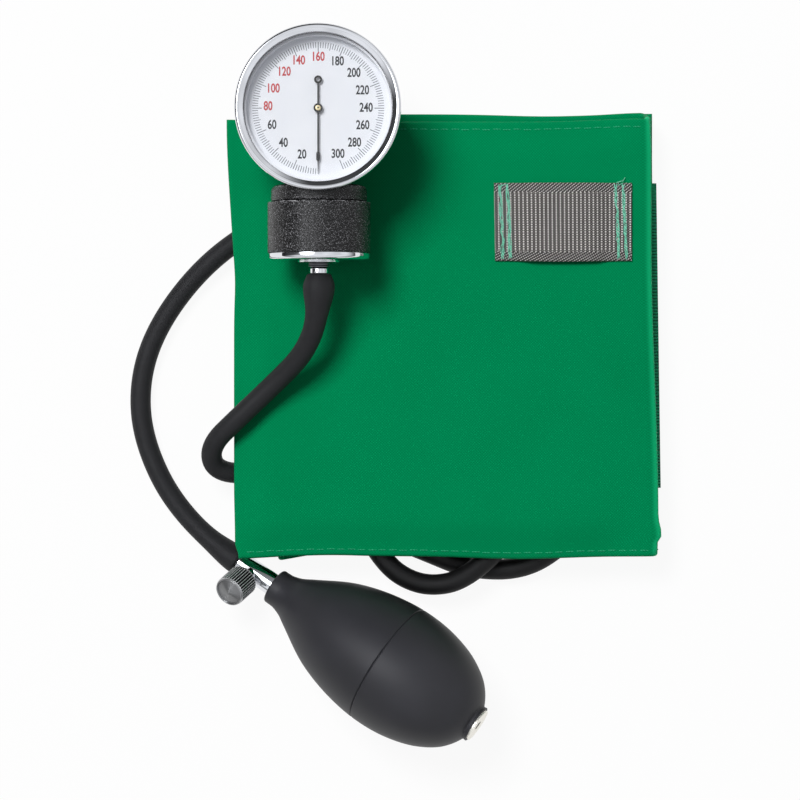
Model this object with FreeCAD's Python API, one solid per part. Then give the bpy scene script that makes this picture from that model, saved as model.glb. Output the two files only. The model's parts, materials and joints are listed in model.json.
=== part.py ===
"""Aneroid blood pressure monitor, lying flat as it is laid out for sale: a folded cuff with a dial gauge
on it, two rubber hoses, a release valve and a squeeze bulb.

Millimetres. +Z is up from the surface that it lies on, +Y runs from the gauge's hose nipple to its dial, and
the origin is the middle of the cuff's underside.
"""
import FreeCAD, Part
import math
import os
from collections import namedtuple
from FreeCAD import Vector

Axis = namedtuple("Axis", "origin along side")

# Cuff: a long sewn strip folded in three, front panel over middle panel over tail
front_left = -70.7
front_right = 72.0
front_low = -73.9
front_high = 72.6
rear_left = -56.5
rear_low = -67.5
rear_high = 76.4
front_thick = 6.0
rear_thick = 2.6
rear_spacing = 0.6
hose_gap = 8.4
tail_end = 71.5
pocket_wall = 0.8
pocket_hem = 4.0
bladder_clearance = 0.2
port_stub_radius = 3.0
port_hole_clearance = 0.2
port_flange_radius = 5.0
port_flange_thick = 0.5
port_flange_gap = 0.1
port_reach = 4.0
port_insert = 5.5
hook_tape_reach = 2.9
hook_tape_width = 50.0
hook_tape_low = -51.3
hook_tape_high = 53.0
hook_tape_thick = 1.6
loop_tape_left = -40.0
loop_tape_width = 50.0
loop_tape_thick = 1.2

# Webbing loop sewn to the front panel by its two ends
webbing_left = 16.8
webbing_low = 25.6
webbing_length = 46.5
webbing_width = 26.3
webbing_thick = 1.3
webbing_foot = 7.0
webbing_ramp = 5.0
webbing_rise = 1.6

# Rubber hoses, each a hand-laid route of corner points
hose_radius = 3.5
hose_bore_radius = 2.1
nipple_clearance = 0.05
arc_share = 0.45
hose_lead = 12.7
gauge_hose_points = [
    (-46.1, -5.2, 33.5), (-57.7, -16.5, 25.8), (-69.2, -27.3, 24.6), (-78.5, -36.1, 19.5),
    (-78.5, -43.9, 13.5), (-70.5, -46.7, 10.3), (-58.3, -44.0, 10.0), (-44.7, -37.2, 10.0),
    (-31.1, -27.3, 10.0), (-16.2, -18.2, 10.0), (0.8, -13.7, 10.0), (17.8, -16.5, 10.0),
    (31.1, -26.3, 10.0), (37.2, -40.6, 10.0), (35.5, -55.5, 9.8), (27.3, -67.4, 9.5), (8.3, -81.3, 11.9),
    (-4.6, -84.7, 10.4), (-15.2, -81.0, 9.9), (-22.3, -73.2, 10.0), (-27.1, -64.0, 10.0),
    (-30.1, -54.2, 10.0)]
bulb_hose_points = [
    (-92.9, -55.0, 3.7), (-100.7, -39.3, 3.7), (-104.0, -24.0, 3.7), (-102.3, -7.9, 3.7),
    (-95.4, 7.5, 3.7), (-83.1, 23.2, 4.2), (-68.6, 34.6, 7.6), (-52.2, 42.7, 10.2), (-33.9, 47.1, 10.0),
    (-14.1, 47.4, 10.0), (5.6, 43.0, 10.0), (23.6, 32.8, 10.0), (38.2, 18.2, 10.0), (48.4, -0.1, 10.0),
    (53.5, -20.5, 10.0), (53.5, -40.6, 10.0), (49.1, -57.6, 10.0), (40.2, -69.8, 9.8), (26.9, -78.9, 4.0),
    (9.1, -79.6, 3.7), (-4.6, -74.4, 7.4), (-13.5, -68.8, 9.9)]

# Gauge: a drum with the pressure capsule in it and a dial case above
gauge_x = -41.6
drum_low = 27.2
drum_length = 16.9
drum_radius = 17.1
drum_wall = 1.4
drum_lid = 1.2
cap_length = 5.7
cap_step = 1.2
cap_wall = 1.6
cap_rounding = 2.2
cap_spigot = 1.0
cap_spigot_wall = 1.5
fit_clearance = 0.05
plate_rim = 1.0
plate_inset = 0.3
plate_dome = 1.2
plate_dome_bulge = 0.15
plate_spigot = 1.0
boss_radius = 7.0
boss_length = 0.7
nipple_collar_radius = 3.65
nipple_collar_length = 1.35
nipple_neck_radius = 2.9
nipple_neck_length = 0.65
nipple_ring_radius = 3.1
nipple_ring_length = 1.7
nipple_insert = 6.5
nipple_stem_radius = 2.4
nipple_bore_radius = 1.0
hook_lift = 0.2
hook_thick = 1.0
hook_gap = 2.4
hook_width = 14.0
hook_length = 18.4
hook_pad_length = 9.4
hook_pad_width = 9.0
rivet_radius = 1.2
rivet_spacing = 5.0
rivet_head_radius = 2.0
rivet_head_thick = 0.8
rivet_margin = 0.3
capsule_clearance = 2.5
capsule_rim = 1.2
capsule_swell = 2.2
capsule_count = 2
capsule_boss_radius = 2.6
capsule_boss_length = 0.9

# Dial case, lens and bezel
bezel_radius = 27.2
bezel_wall = 1.8
bezel_face = 2.9
case_seat = 0.9
case_wall = 1.2
case_ledge = 1.0
case_below_axis = 6.3
case_floor = 1.2
case_rounding = 4.0
dial_drop = 4.2
dial_thick = 0.5
dial_hole_radius = 1.3
spacer_wall = 0.65
gasket_thick = 1.0
lens_thick = 1.6
bezel_lip = 1.5
bezel_skirt = 0.7
bezel_over_cap = 0.6
bezel_rounding = 2.0
sleeve_radius = 2.4
sleeve_bore_radius = 1.08
sleeve_head_radius = 5.0
sleeve_head_length = 1.2
nut_radius = 3.6
nut_length = 1.8

# Movement: sector gear on a rocking shaft, driving the pinion on the pointer's arbor
shaft_margin = 6.95
pinion_teeth = 10
sector_teeth = 120
sector_cut_teeth = 16
sector_lead_teeth = 3
pointer_sweep_degrees = 337.5
lever_radius = 4.0
lever_thick = 1.6
lever_width = 1.0
lever_end_radius = 0.9
sector_boss_radius = 1.8
addendum_share = 0.76
dedendum_share = 1.24
sector_half_tooth_share = 0.66
pinion_half_tooth_share = 0.54
tooth_taper = 0.36
sector_thick = 1.0
sector_lift = 2.35
pinion_length = 3.4
shaft_radius = 0.7
arbor_radius = 0.6
collet_radius = 1.3
collet_length = 1.2
spring_width = 0.6
spring_strip = 0.12
spring_pitch = 0.7
spring_half_turns = 10
plate_thick = 1.0
movement_foot = 1.0
bridge_to_dial = 3.4
movement_half_width = 11.0
movement_above = 8.0
shaft_edge = 1.75
pillar_radius = 1.6
pillar_inset = 2.6
screw_radius = 0.7
screw_head_radius = 1.3
screw_head_length = 0.6
spring_post_radius = 0.4

# Pointer
pointer_lift = 1.1
pointer_thick = 0.35
pointer_clearance = 3.4
pointer_tail = 9.3
pointer_width = 0.7
pointer_tip_width = 0.25
spade_length = 2.6
spade_tip_length = 3.6
spade_width = 1.2
tail_ring_radius = 1.3
tail_ring_hole = 0.7
pointer_hub_radius = 1.5
pointer_hub_length = 0.9
rod_radius = 1.0
rod_foot_radius = 2.2
rod_foot_length = 0.8
rod_tip_radius = 0.6
rod_tip_length = 1.0
contact_gap = 0.05

# Squeeze bulb, its axis tilted so that the neck droops
neck_x = -57.5
neck_y = -84.2
bulb_turn_degrees = -33.65
bulb_tilt_degrees = 13.0
bulb_length = 84.1
bulb_radius = 21.7
neck_radius = 6.3
neck_length = 3.5
neck_depth = 15.0
tail_radius = 6.6
tail_lip = 1.4
bulb_curve_shares = [
    (0.08, 0.335), (0.125, 0.432), (0.285, 0.763), (0.45, 0.945), (0.58, 1.0), (0.73, 0.95), (0.853, 0.793),
    (0.935, 0.575)]
curve_steps = 400
cavity_curve_shares = [(0.285, 0.63), (0.45, 0.84), (0.58, 0.89), (0.73, 0.83), (0.85, 0.64)]

# Release valve between the bulb's neck and the bulb hose
valve_radius = 3.85
valve_reach = 14.6
valve_spigot = 13.0
valve_bore_radius = 1.2
outlet_chamber_radius = 2.6
outlet_chamber_start = -2.0
outlet_seat_start = 3.2
outlet_seat_bore = 1.0
disc_thick = 1.05
outlet_disc_radius = 2.2
disc_gap = 0.1
release_at = 9.1
release_lean_degrees = 50.0
release_boss_radius = 3.1
release_boss_end = 5.2
release_bore_start = 2.4
release_seat_radius = 0.55
stem_radius = 1.6
stem_clearance = 0.06
o_ring_clearance = 0.02
stem_start = 2.9
groove_start = 3.4
groove_width = 1.0
groove_radius = 2.4
o_ring_radius = 0.38
needle_radius = 0.7
needle_tip_radius = 0.2
needle_tip_start = 1.9
needle_tip_length = 0.85
needle_end = 9.8
knob_start = 5.7
knob_end = 15.3
knob_radius = 5.3
knob_groove = 0.35
knob_ridges = 36
knob_chamfer = 0.7
knob_dish = 0.5

# Air inlet valve in the bulb's far end
inlet_radius = 4.6
inlet_length = 10.0
inlet_flange_radius = 5.7
inlet_flange_thick = 0.6
inlet_hole_radius = 1.6
inlet_chamber_radius = 3.4
inlet_seat = 3.0
inlet_disc_radius = 2.8
retainer_thick = 1.5
retainer_hole_radius = 1.8

# Levels and places that follow from the sizes above
middle_low = rear_thick + rear_spacing
middle_high = middle_low + rear_thick
front_floor = middle_high + hose_gap
cuff_top = front_floor + front_thick
drum_z = cuff_top + hook_lift + hook_thick + hook_gap + drum_radius
cap_radius = drum_radius - cap_step
plate_radius = drum_radius - plate_inset
capsule_radius = drum_radius - drum_wall - capsule_clearance
drum_high = drum_low + drum_length
cap_high = drum_high + cap_length
hose_bore_fit = hose_bore_radius - nipple_clearance
bezel_back = drum_z + cap_radius + bezel_over_cap
case_rim = bezel_back + bezel_skirt
lens_low = case_rim + gasket_thick
lens_high = lens_low + lens_thick
bezel_front = lens_high + bezel_lip
case_back = drum_z - case_below_axis
case_inner = case_back + case_floor
dial_top = case_rim - dial_drop
dial_low = dial_top - dial_thick
case_radius = bezel_radius - bezel_wall
bezel_opening_radius = bezel_radius - bezel_face
dial_y = cap_high + case_radius - case_seat
rim_inner_radius = case_radius - case_wall
ledge_radius = rim_inner_radius - case_ledge
nipple_end = drum_low - plate_rim - plate_dome - boss_length - nipple_collar_length
nipple_end -= nipple_neck_length + nipple_ring_length
gear_distance = ledge_radius - shaft_margin
gear_module = 2 * gear_distance / (pinion_teeth + sector_teeth)
tooth_addendum = addendum_share * gear_module
tooth_dedendum = dedendum_share * gear_module
pitch_radius = gear_module * pinion_teeth / 2
sector_radius = gear_module * sector_teeth / 2
pointer_reach = rim_inner_radius - pointer_clearance
shaft_drop = math.sqrt(gear_distance ** 2 - lever_radius ** 2)
movement_below = shaft_drop + shaft_edge
shaft_x = gauge_x - lever_radius
shaft_y = dial_y - shaft_drop
sector_sweep = math.radians(pointer_sweep_degrees) * pinion_teeth / sector_teeth
mesh_angle = math.atan2(shaft_drop, lever_radius)
base_low = case_inner + movement_foot
base_high = base_low + plate_thick
bridge_high = dial_low - bridge_to_dial
bridge_low = bridge_high - plate_thick
pillar_length = bridge_low - base_high
sector_low = drum_z + sector_lift
pinion_low = sector_low - (pinion_length - sector_thick) / 2
collet_low = bridge_low - collet_length - contact_gap

# Axes that the turned pieces share
drum_axis = Axis(Vector(gauge_x, 0, drum_z), Vector(0, 1, 0), Vector(1, 0, 0))
dial_axis = Axis(Vector(gauge_x, dial_y, 0), Vector(0, 0, 1), Vector(1, 0, 0))
shaft_axis = Axis(Vector(shaft_x, shaft_y, 0), Vector(0, 0, 1), Vector(1, 0, 0))


def point_on(axis, along, out):
    """Point at a distance along an axis and a distance out from it."""
    return axis.origin + axis.along * along + axis.side * out


def closed_wire(place, corners):
    """Closed wire through (p, q) corners. A corner of four numbers is the middle and the end of an arc."""
    edges = []
    here = corners[0]
    for corner in corners[1:] + corners[:1]:
        start = place(*here[-2:])
        end = place(*corner[-2:])
        if len(corner) == 4:
            edges.append(Part.Arc(start, place(*corner[:2]), end).toShape())
        else:
            edges.append(Part.LineSegment(start, end).toShape())
        here = corner
    return Part.Wire(edges)


def lathe(axis, corners):
    """Solid turned about an axis from (along, radius) corners."""
    wire = closed_wire(lambda along, out: point_on(axis, along, out), corners)
    return Part.Face(wire).revolve(axis.origin, axis.along, 360)


def ring(axis, start, end, inner, outer):
    """Tube about an axis, from start to end along it."""
    return lathe(axis, [(start, inner), (start, outer), (end, outer), (end, inner)])


def rod(axis, start, end, radius):
    """Plain cylinder about an axis, from start to end along it."""
    return Part.makeCylinder(radius, end - start, point_on(axis, start, 0), axis.along)


def block(low, high):
    """Box between two opposite corners."""
    size = Vector(*high) - Vector(*low)
    return Part.makeBox(size.x, size.y, size.z, Vector(*low))


def fused(pieces):
    """One solid from pieces that overlap or share faces."""
    return pieces[0].fuse(pieces[1:]).removeSplitter()


def fitting_lead(axis, start):
    """First two points of a hose's route: straight out of its fitting, back along the fitting's axis."""
    return [tuple(point_on(axis, start, 0)), tuple(point_on(axis, start - hose_lead, 0))]


def hose_path(points):
    """Straight runs joined by tangent arcs, each as large as its two runs allow, and the arcs' radii."""
    corners = [Vector(*point) for point in points]
    edges = []
    radii = []
    here = corners[0]
    for before, corner, after in zip(corners, corners[1:], corners[2:]):
        back = (before - corner).normalize()
        ahead = (after - corner).normalize()
        trim = arc_share * min(before.distanceToPoint(corner), after.distanceToPoint(corner))
        half_turn = (math.pi - back.getAngle(ahead)) / 2
        radius = trim / math.tan(half_turn)
        inward = (back + ahead).normalize()
        middle = corner + inward * (radius / math.cos(half_turn) - radius)
        arc_start = corner + back * trim
        arc_end = corner + ahead * trim
        edges.append(Part.LineSegment(here, arc_start).toShape())
        edges.append(Part.Arc(arc_start, middle, arc_end).toShape())
        radii.append(radius)
        here = arc_end
    edges.append(Part.LineSegment(here, corners[-1]).toShape())
    return Part.Wire(edges), radii


def hose(name, points):
    """Rubber hose with its bore, along a route of corner points."""
    path, radii = hose_path(points)
    start = Vector(*points[0])
    direction = Vector(*points[1]) - start

    def swept(radius):
        circle = Part.Wire(Part.makeCircle(radius, start, direction))
        return path.makePipeShell([circle], True, False)

    tube = swept(hose_radius).cut(swept(hose_bore_radius))
    section = math.pi * (hose_radius ** 2 - hose_bore_radius ** 2)
    ratio = tube.Volume / (section * path.Length)
    print(name, "length", round(path.Length, 1), "volume over section times length", round(ratio, 5))
    print(name, "bend radii", [round(radius, 1) for radius in radii])
    return tube


def cuff_cover():
    """Sewn strip: front panel with its right fold, then middle panel, left fold and tail."""
    fold = (cuff_top - middle_low) / 2
    fold_x = front_right - fold
    inner_fold = hose_gap / 2
    hem = front_thick / 2
    tail_fold = middle_high / 2
    tail_x = rear_left + tail_fold
    front_corners = [
        (front_left + hem, front_floor), (front_left, front_floor + hem, front_left + hem, cuff_top),
        (fold_x, cuff_top), (front_right, cuff_top - fold, fold_x, middle_low), (fold_x, middle_high),
        (fold_x + inner_fold, middle_high + inner_fold, fold_x, front_floor)]
    rear_corners = [
        (fold_x, middle_low), (fold_x, middle_high), (tail_x, middle_high),
        (rear_left, tail_fold, tail_x, 0), (tail_end, 0), (tail_end, rear_thick), (tail_x, rear_thick),
        (tail_x - rear_spacing / 2, rear_thick + rear_spacing / 2, tail_x, middle_low)]
    front = Part.Face(closed_wire(lambda x, z: Vector(x, front_low, z), front_corners))
    rear = Part.Face(closed_wire(lambda x, z: Vector(x, rear_low, z), rear_corners))
    cover = fused([front.extrude(Vector(0, front_high - front_low, 0)),
                   rear.extrude(Vector(0, rear_high - rear_low, 0))])
    low, high = pocket_corners(0)
    cover = cover.cut(block(low, high))
    for port_axis in (gauge_port, bulb_port):
        hole = port_stub_radius + port_hole_clearance
        cover = cover.cut(rod(port_axis, middle_high + hose_gap / 2, front_floor + front_thick / 2, hole))
    return cover.cut(hook_tape()).cut(loop_tape())


def pocket_corners(clearance):
    """Opposite corners of the bladder's pocket in the front panel, drawn in by a clearance."""
    fold = (cuff_top - middle_low) / 2
    inset = pocket_hem + clearance
    skin = pocket_wall + clearance
    low = (front_left + inset, front_low + inset, front_floor + skin)
    high = (front_right - fold - inset, front_high - inset, cuff_top - skin)
    return low, high


def cuff_bladder():
    """Flat rubber bag that fills the pocket."""
    return block(*pocket_corners(bladder_clearance))


def port_axis_at(points):
    """Upright axis of a bladder port, a short reach past the end of its hose."""
    end = Vector(*points[-1])
    ahead = (end - Vector(*points[-2])).normalize()
    elbow = end + ahead * port_reach
    return Axis(Vector(elbow.x, elbow.y, 0), Vector(0, 0, 1), Vector(-ahead.x, -ahead.y, 0).normalize())


def bladder_port(port_axis, points):
    """Rubber elbow from the bladder's underside, through the cover, into the hose's end."""
    end = Vector(*points[-1])
    ahead = (end - Vector(*points[-2])).normalize()
    elbow = end + ahead * port_reach
    top = front_floor + pocket_wall + bladder_clearance
    flange_top = front_floor - port_flange_gap
    spigot = Part.makeCylinder(hose_bore_fit, port_reach + port_insert, elbow, ahead * -1)
    stub = rod(port_axis, elbow.z, top, port_stub_radius)
    flange = rod(port_axis, flange_top - port_flange_thick, flange_top, port_flange_radius)
    return fused([stub, Part.makeSphere(port_stub_radius, elbow), spigot, flange])


def hook_tape():
    """Hook tape let into the tail's underside, its edge standing out past the tail."""
    right = tail_end + hook_tape_reach
    return block((right - hook_tape_width, hook_tape_low, 0), (right, hook_tape_high, hook_tape_thick))


def loop_tape():
    """Loop tape let into the middle panel's underside."""
    right = loop_tape_left + loop_tape_width
    return block((loop_tape_left, hook_tape_low, middle_low),
                 (right, hook_tape_high, middle_low + loop_tape_thick))


def gauge_loop():
    """Webbing strap sewn down at both ends and bowed up between them."""
    right = webbing_left + webbing_length
    foot_left = webbing_left + webbing_foot
    foot_right = right - webbing_foot
    bow_left = foot_left + webbing_ramp
    bow_right = foot_right - webbing_ramp
    top = cuff_top + webbing_thick
    corners = [
        (webbing_left, cuff_top), (foot_left, cuff_top), (bow_left, cuff_top + webbing_rise),
        (bow_right, cuff_top + webbing_rise), (foot_right, cuff_top), (right, cuff_top), (right, top),
        (foot_right, top), (bow_right, top + webbing_rise), (bow_left, top + webbing_rise), (foot_left, top),
        (webbing_left, top)]
    section = Part.Face(closed_wire(lambda x, z: Vector(x, webbing_low, z), corners))
    return section.extrude(Vector(0, webbing_width, 0))


def drum_housing():
    """Black drum: a tube with a lid ring that the cap's spigot enters."""
    inner = drum_radius - drum_wall
    lid_hole = cap_radius - cap_spigot_wall + fit_clearance
    shell = lathe(drum_axis, [
        (drum_low, inner), (drum_low, drum_radius), (drum_high, drum_radius), (drum_high, lid_hole),
        (drum_high - drum_lid, lid_hole), (drum_high - drum_lid, inner)])
    return shell.cut(rivet_pins())


def drum_cap():
    """Rounded cap on the drum, hollowed to seat the round case."""
    spigot_radius = cap_radius - cap_spigot_wall
    inner = spigot_radius - cap_spigot_wall
    bend = cap_rounding * (1 - math.sqrt(0.5))
    cap = lathe(drum_axis, [
        (drum_high - cap_spigot, inner), (drum_high - cap_spigot, spigot_radius), (drum_high, spigot_radius),
        (drum_high, cap_radius), (cap_high - cap_rounding, cap_radius),
        (cap_high - bend, cap_radius - bend, cap_high, cap_radius - cap_rounding),
        (cap_high, sleeve_radius + fit_clearance), (cap_high - cap_wall, sleeve_radius + fit_clearance),
        (cap_high - cap_wall, inner)])
    return cap.cut(rod(dial_axis, case_back, case_rim, case_radius + fit_clearance))


def base_plate():
    """Chromed plate under the drum, domed down to a flat boss."""
    hole = nipple_stem_radius + fit_clearance
    rim_low = drum_low - plate_rim
    dome_low = rim_low - plate_dome
    boss_low = dome_low - boss_length
    spigot = drum_radius - drum_wall - fit_clearance
    middle_radius = (plate_radius + boss_radius) / 2
    return lathe(drum_axis, [
        (boss_low, hole), (boss_low, boss_radius), (dome_low, boss_radius),
        (dome_low + plate_dome * plate_dome_bulge, middle_radius, rim_low, plate_radius),
        (drum_low, plate_radius), (drum_low, spigot), (drum_low + plate_spigot, spigot),
        (drum_low + plate_spigot, hole)])


def hose_nipple():
    """Turned nipple: stem through the base plate, collar, neck, ring and the spigot in the hose."""
    boss_low = drum_low - plate_rim - plate_dome - boss_length
    collar_low = boss_low - nipple_collar_length
    neck_low = collar_low - nipple_neck_length
    stem_top = drum_low + plate_spigot
    return lathe(drum_axis, [
        (nipple_end - nipple_insert, nipple_bore_radius), (nipple_end - nipple_insert, hose_bore_fit),
        (nipple_end, hose_bore_fit), (nipple_end, nipple_ring_radius), (neck_low, nipple_ring_radius),
        (neck_low, nipple_neck_radius), (collar_low, nipple_neck_radius), (collar_low, nipple_collar_radius),
        (boss_low, nipple_collar_radius), (boss_low, nipple_stem_radius), (stem_top, nipple_stem_radius),
        (stem_top, nipple_bore_radius)])


def capsule():
    """Stack of sprung metal cells on a short boss, thick in the middle and thin at the rim."""
    foot = drum_low + plate_spigot
    low = foot + capsule_boss_length
    cell = capsule_rim + 2 * capsule_swell
    corners = [(foot, 0), (foot, capsule_boss_radius), (low, capsule_boss_radius)]
    for count in range(capsule_count):
        start = low + count * cell
        corners += [(start + capsule_swell, capsule_radius),
                    (start + capsule_swell + capsule_rim, capsule_radius),
                    (start + cell, capsule_boss_radius)]
    top = low + capsule_count * cell
    corners += [(top + capsule_boss_length, capsule_boss_radius), (top + capsule_boss_length, 0)]
    return lathe(drum_axis, corners), top + capsule_boss_length


def hook_pad():
    """Block between the hook's strip and the drum, hollowed to the drum's round wall."""
    strip_top = cuff_top + hook_lift + hook_thick
    pad = block((gauge_x - hook_pad_width / 2, drum_high - hook_pad_length, strip_top),
                (gauge_x + hook_pad_width / 2, drum_high, drum_z))
    return pad.cut(rod(drum_axis, drum_low, drum_high, drum_radius))


def gauge_hook():
    """Sprung strip on the gauge's back that slips into the webbing loop."""
    low = cuff_top + hook_lift
    tip_y = drum_high - hook_length + hook_width / 2
    strip = block((gauge_x - hook_width / 2, tip_y, low),
                  (gauge_x + hook_width / 2, drum_high, low + hook_thick))
    tip = Part.makeCylinder(hook_width / 2, hook_thick, Vector(gauge_x, tip_y, low))
    return fused([strip, tip, hook_pad()]).cut(rivet_pins())


def rivet_places():
    """Y of the two rivets along the hook's pad."""
    last = drum_high - drum_lid - rivet_head_radius - rivet_margin
    return [last - rivet_spacing, last]


def rivet_pins():
    """Plain shanks of both rivets, as holes for the pieces that they join."""
    low = cuff_top + hook_lift
    top = drum_z - drum_radius + drum_wall + rivet_head_thick
    pins = [Part.makeCylinder(rivet_radius, top - low, Vector(gauge_x, y, low)) for y in rivet_places()]
    return Part.makeCompound(pins)


def hook_rivets():
    """Two rivets, flush under the hook and headed inside the drum."""
    top = drum_z - drum_radius + drum_wall + rivet_head_thick
    inside = rod(drum_axis, drum_low, drum_high, drum_radius - drum_wall)
    rivets = []
    for y, pin in zip(rivet_places(), rivet_pins().Solids):
        head_low = top - 2 * rivet_head_thick
        head = Part.makeCylinder(rivet_head_radius, top - head_low, Vector(gauge_x, y, head_low))
        rivets.append(fused([pin, head.common(inside)]))
    return Part.makeCompound(rivets)


def gauge_case():
    """Round bowl behind the dial, with a ledge for the dial and feet for the movement."""
    round_in = case_rounding - case_floor
    bend = case_rounding * (1 - math.sqrt(0.5))
    bend_in = round_in * (1 - math.sqrt(0.5))
    case = lathe(dial_axis, [
        (case_back, 0), (case_back, case_radius - case_rounding),
        (case_back + bend, case_radius - bend, case_back + case_rounding, case_radius),
        (case_rim, case_radius), (case_rim, rim_inner_radius), (dial_low, rim_inner_radius),
        (dial_low, ledge_radius), (case_inner + round_in, ledge_radius),
        (case_inner + bend_in, ledge_radius - bend_in, case_inner, ledge_radius - round_in), (case_inner, 0)])
    feet = [Part.makeCylinder(pillar_radius, movement_foot, Vector(x, y, case_inner))
            for x, y in pillar_places()]
    case = fused([case] + feet)
    return case.cut(rod(drum_axis, drum_high, dial_y, sleeve_radius + fit_clearance))


def case_sleeve():
    """Hollow stud that clamps the case to the drum cap and guides the push rod."""
    head_top = cap_high - cap_wall
    nut_face = nut_start()
    return lathe(drum_axis, [
        (head_top - sleeve_head_length, sleeve_bore_radius),
        (head_top - sleeve_head_length, sleeve_head_radius), (head_top, sleeve_head_radius),
        (head_top, sleeve_radius), (nut_face + nut_length, sleeve_radius),
        (nut_face + nut_length, sleeve_bore_radius)])


def nut_start():
    """Where the nut's rim meets the case's round inner wall."""
    return dial_y - math.sqrt(ledge_radius ** 2 - nut_radius ** 2) + fit_clearance


def sleeve_nut():
    """Six-sided nut on the sleeve, inside the case."""
    start = nut_start()
    corners = [point_on(drum_axis, start, 0) + Vector(math.cos(a), 0, math.sin(a)) * nut_radius
               for a in [math.radians(60 * side) for side in range(7)]]
    prism = Part.Face(Part.makePolygon(corners)).extrude(Vector(0, nut_length, 0))
    return prism.cut(rod(drum_axis, drum_high, dial_y, sleeve_radius + fit_clearance))


def bezel():
    """Polished ring over the lens, rounded to the front, its skirt over the case's rim."""
    inner = case_radius + fit_clearance
    under_lip = lens_high + fit_clearance
    shoulder = bezel_front - bezel_rounding
    bend = bezel_rounding * (1 - math.sqrt(0.5))
    return lathe(dial_axis, [
        (bezel_back, inner), (bezel_back, bezel_radius), (shoulder, bezel_radius),
        (bezel_front - bend, bezel_radius - bend, bezel_front, bezel_radius - bezel_rounding),
        (under_lip + fit_clearance, bezel_opening_radius), (under_lip, bezel_opening_radius),
        (under_lip, inner)])


def movement_plate(low):
    """Brass plate of the movement, with holes for the shaft, the arbor and the pillars."""
    plate = block((gauge_x - movement_half_width, dial_y - movement_below, low),
                  (gauge_x + movement_half_width, dial_y + movement_above, low + plate_thick))
    cuts = [rod(dial_axis, low, low + plate_thick, arbor_radius + fit_clearance),
            rod(shaft_axis, low, low + plate_thick, shaft_radius + fit_clearance)]
    cuts += [Part.makeCylinder(screw_radius, plate_thick, Vector(x, y, low)) for x, y in pillar_places()]
    return plate.cut(cuts)


def pillar_places():
    """Corners where the movement's pillars stand."""
    reach = movement_half_width - pillar_inset
    return [(gauge_x + x, dial_y + y) for x in (-reach, reach)
            for y in (pillar_inset - movement_below, movement_above - pillar_inset)]


def movement_pillars():
    """Four posts that hold the bridge over the base."""
    posts = []
    for x, y in pillar_places():
        foot = Vector(x, y, base_high)
        post = Part.makeCylinder(pillar_radius, pillar_length, foot)
        posts.append(post.cut(Part.makeCylinder(screw_radius, pillar_length, foot)))
    return Part.makeCompound(posts)


def movement_screws():
    """Long screws through the bridge, pillars and base."""
    screws = []
    for x, y in pillar_places():
        shank = Part.makeCylinder(screw_radius, bridge_high - base_low, Vector(x, y, base_low))
        head = Part.makeCylinder(screw_head_radius, screw_head_length, Vector(x, y, bridge_high))
        screws.append(fused([shank, head]))
    return Part.makeCompound(screws)


def movement_bridge():
    """Front plate of the movement, with the post that holds the hairspring's outer end."""
    reach = collet_radius + fit_clearance + spring_half_turns * spring_pitch / 2 + spring_strip
    post_x = gauge_x + reach + spring_post_radius + fit_clearance
    post = Part.makeCylinder(spring_post_radius, bridge_low - collet_low, Vector(post_x, dial_y, collet_low))
    return fused([movement_plate(bridge_low), post])


def hairspring():
    """Flat spiral strip of half circles, each wider than the last by half a pitch."""
    low = collet_low + (collet_length - spring_width) / 2

    def spiral(first):
        arcs = []
        for turn in range(spring_half_turns):
            sign = (-1) ** turn
            start = sign * (first + turn * spring_pitch / 2)
            end = -sign * (first + (turn + 1) * spring_pitch / 2)
            middle = (start + end) / 2
            height = sign * abs(start - end) / 2
            arcs.append(Part.Arc(at(start, 0), at(middle, height), at(end, 0)).toShape())
        return arcs

    def at(x, y):
        return Vector(gauge_x + x, dial_y + y, low)

    inner = collet_radius + fit_clearance
    last = inner + spring_half_turns * spring_pitch / 2
    edges = spiral(inner) + [Part.LineSegment(at(last, 0), at(last + spring_strip, 0)).toShape()]
    edges += spiral(inner + spring_strip)
    edges.append(Part.LineSegment(at(inner + spring_strip, 0), at(inner, 0)).toShape())
    return Part.Face(Part.Wire(Part.__sortEdges__(edges))).extrude(Vector(0, 0, spring_width))


def toothed_edge(axis, radius, centres, half_tooth, level):
    """Corners of straight-flanked teeth round an axis, at the given tooth centre angles."""
    corners = []
    flanks = [(-tooth_dedendum, -1), (tooth_addendum, -1), (tooth_addendum, 1), (-tooth_dedendum, 1)]
    for centre in centres:
        for height, side in flanks:
            half = half_tooth - height * tooth_taper
            angle = centre + side * half / radius
            corners.append(axis.origin + Vector(math.cos(angle), math.sin(angle), 0) * (radius + height)
                           + Vector(0, 0, level))
    return corners


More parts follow.
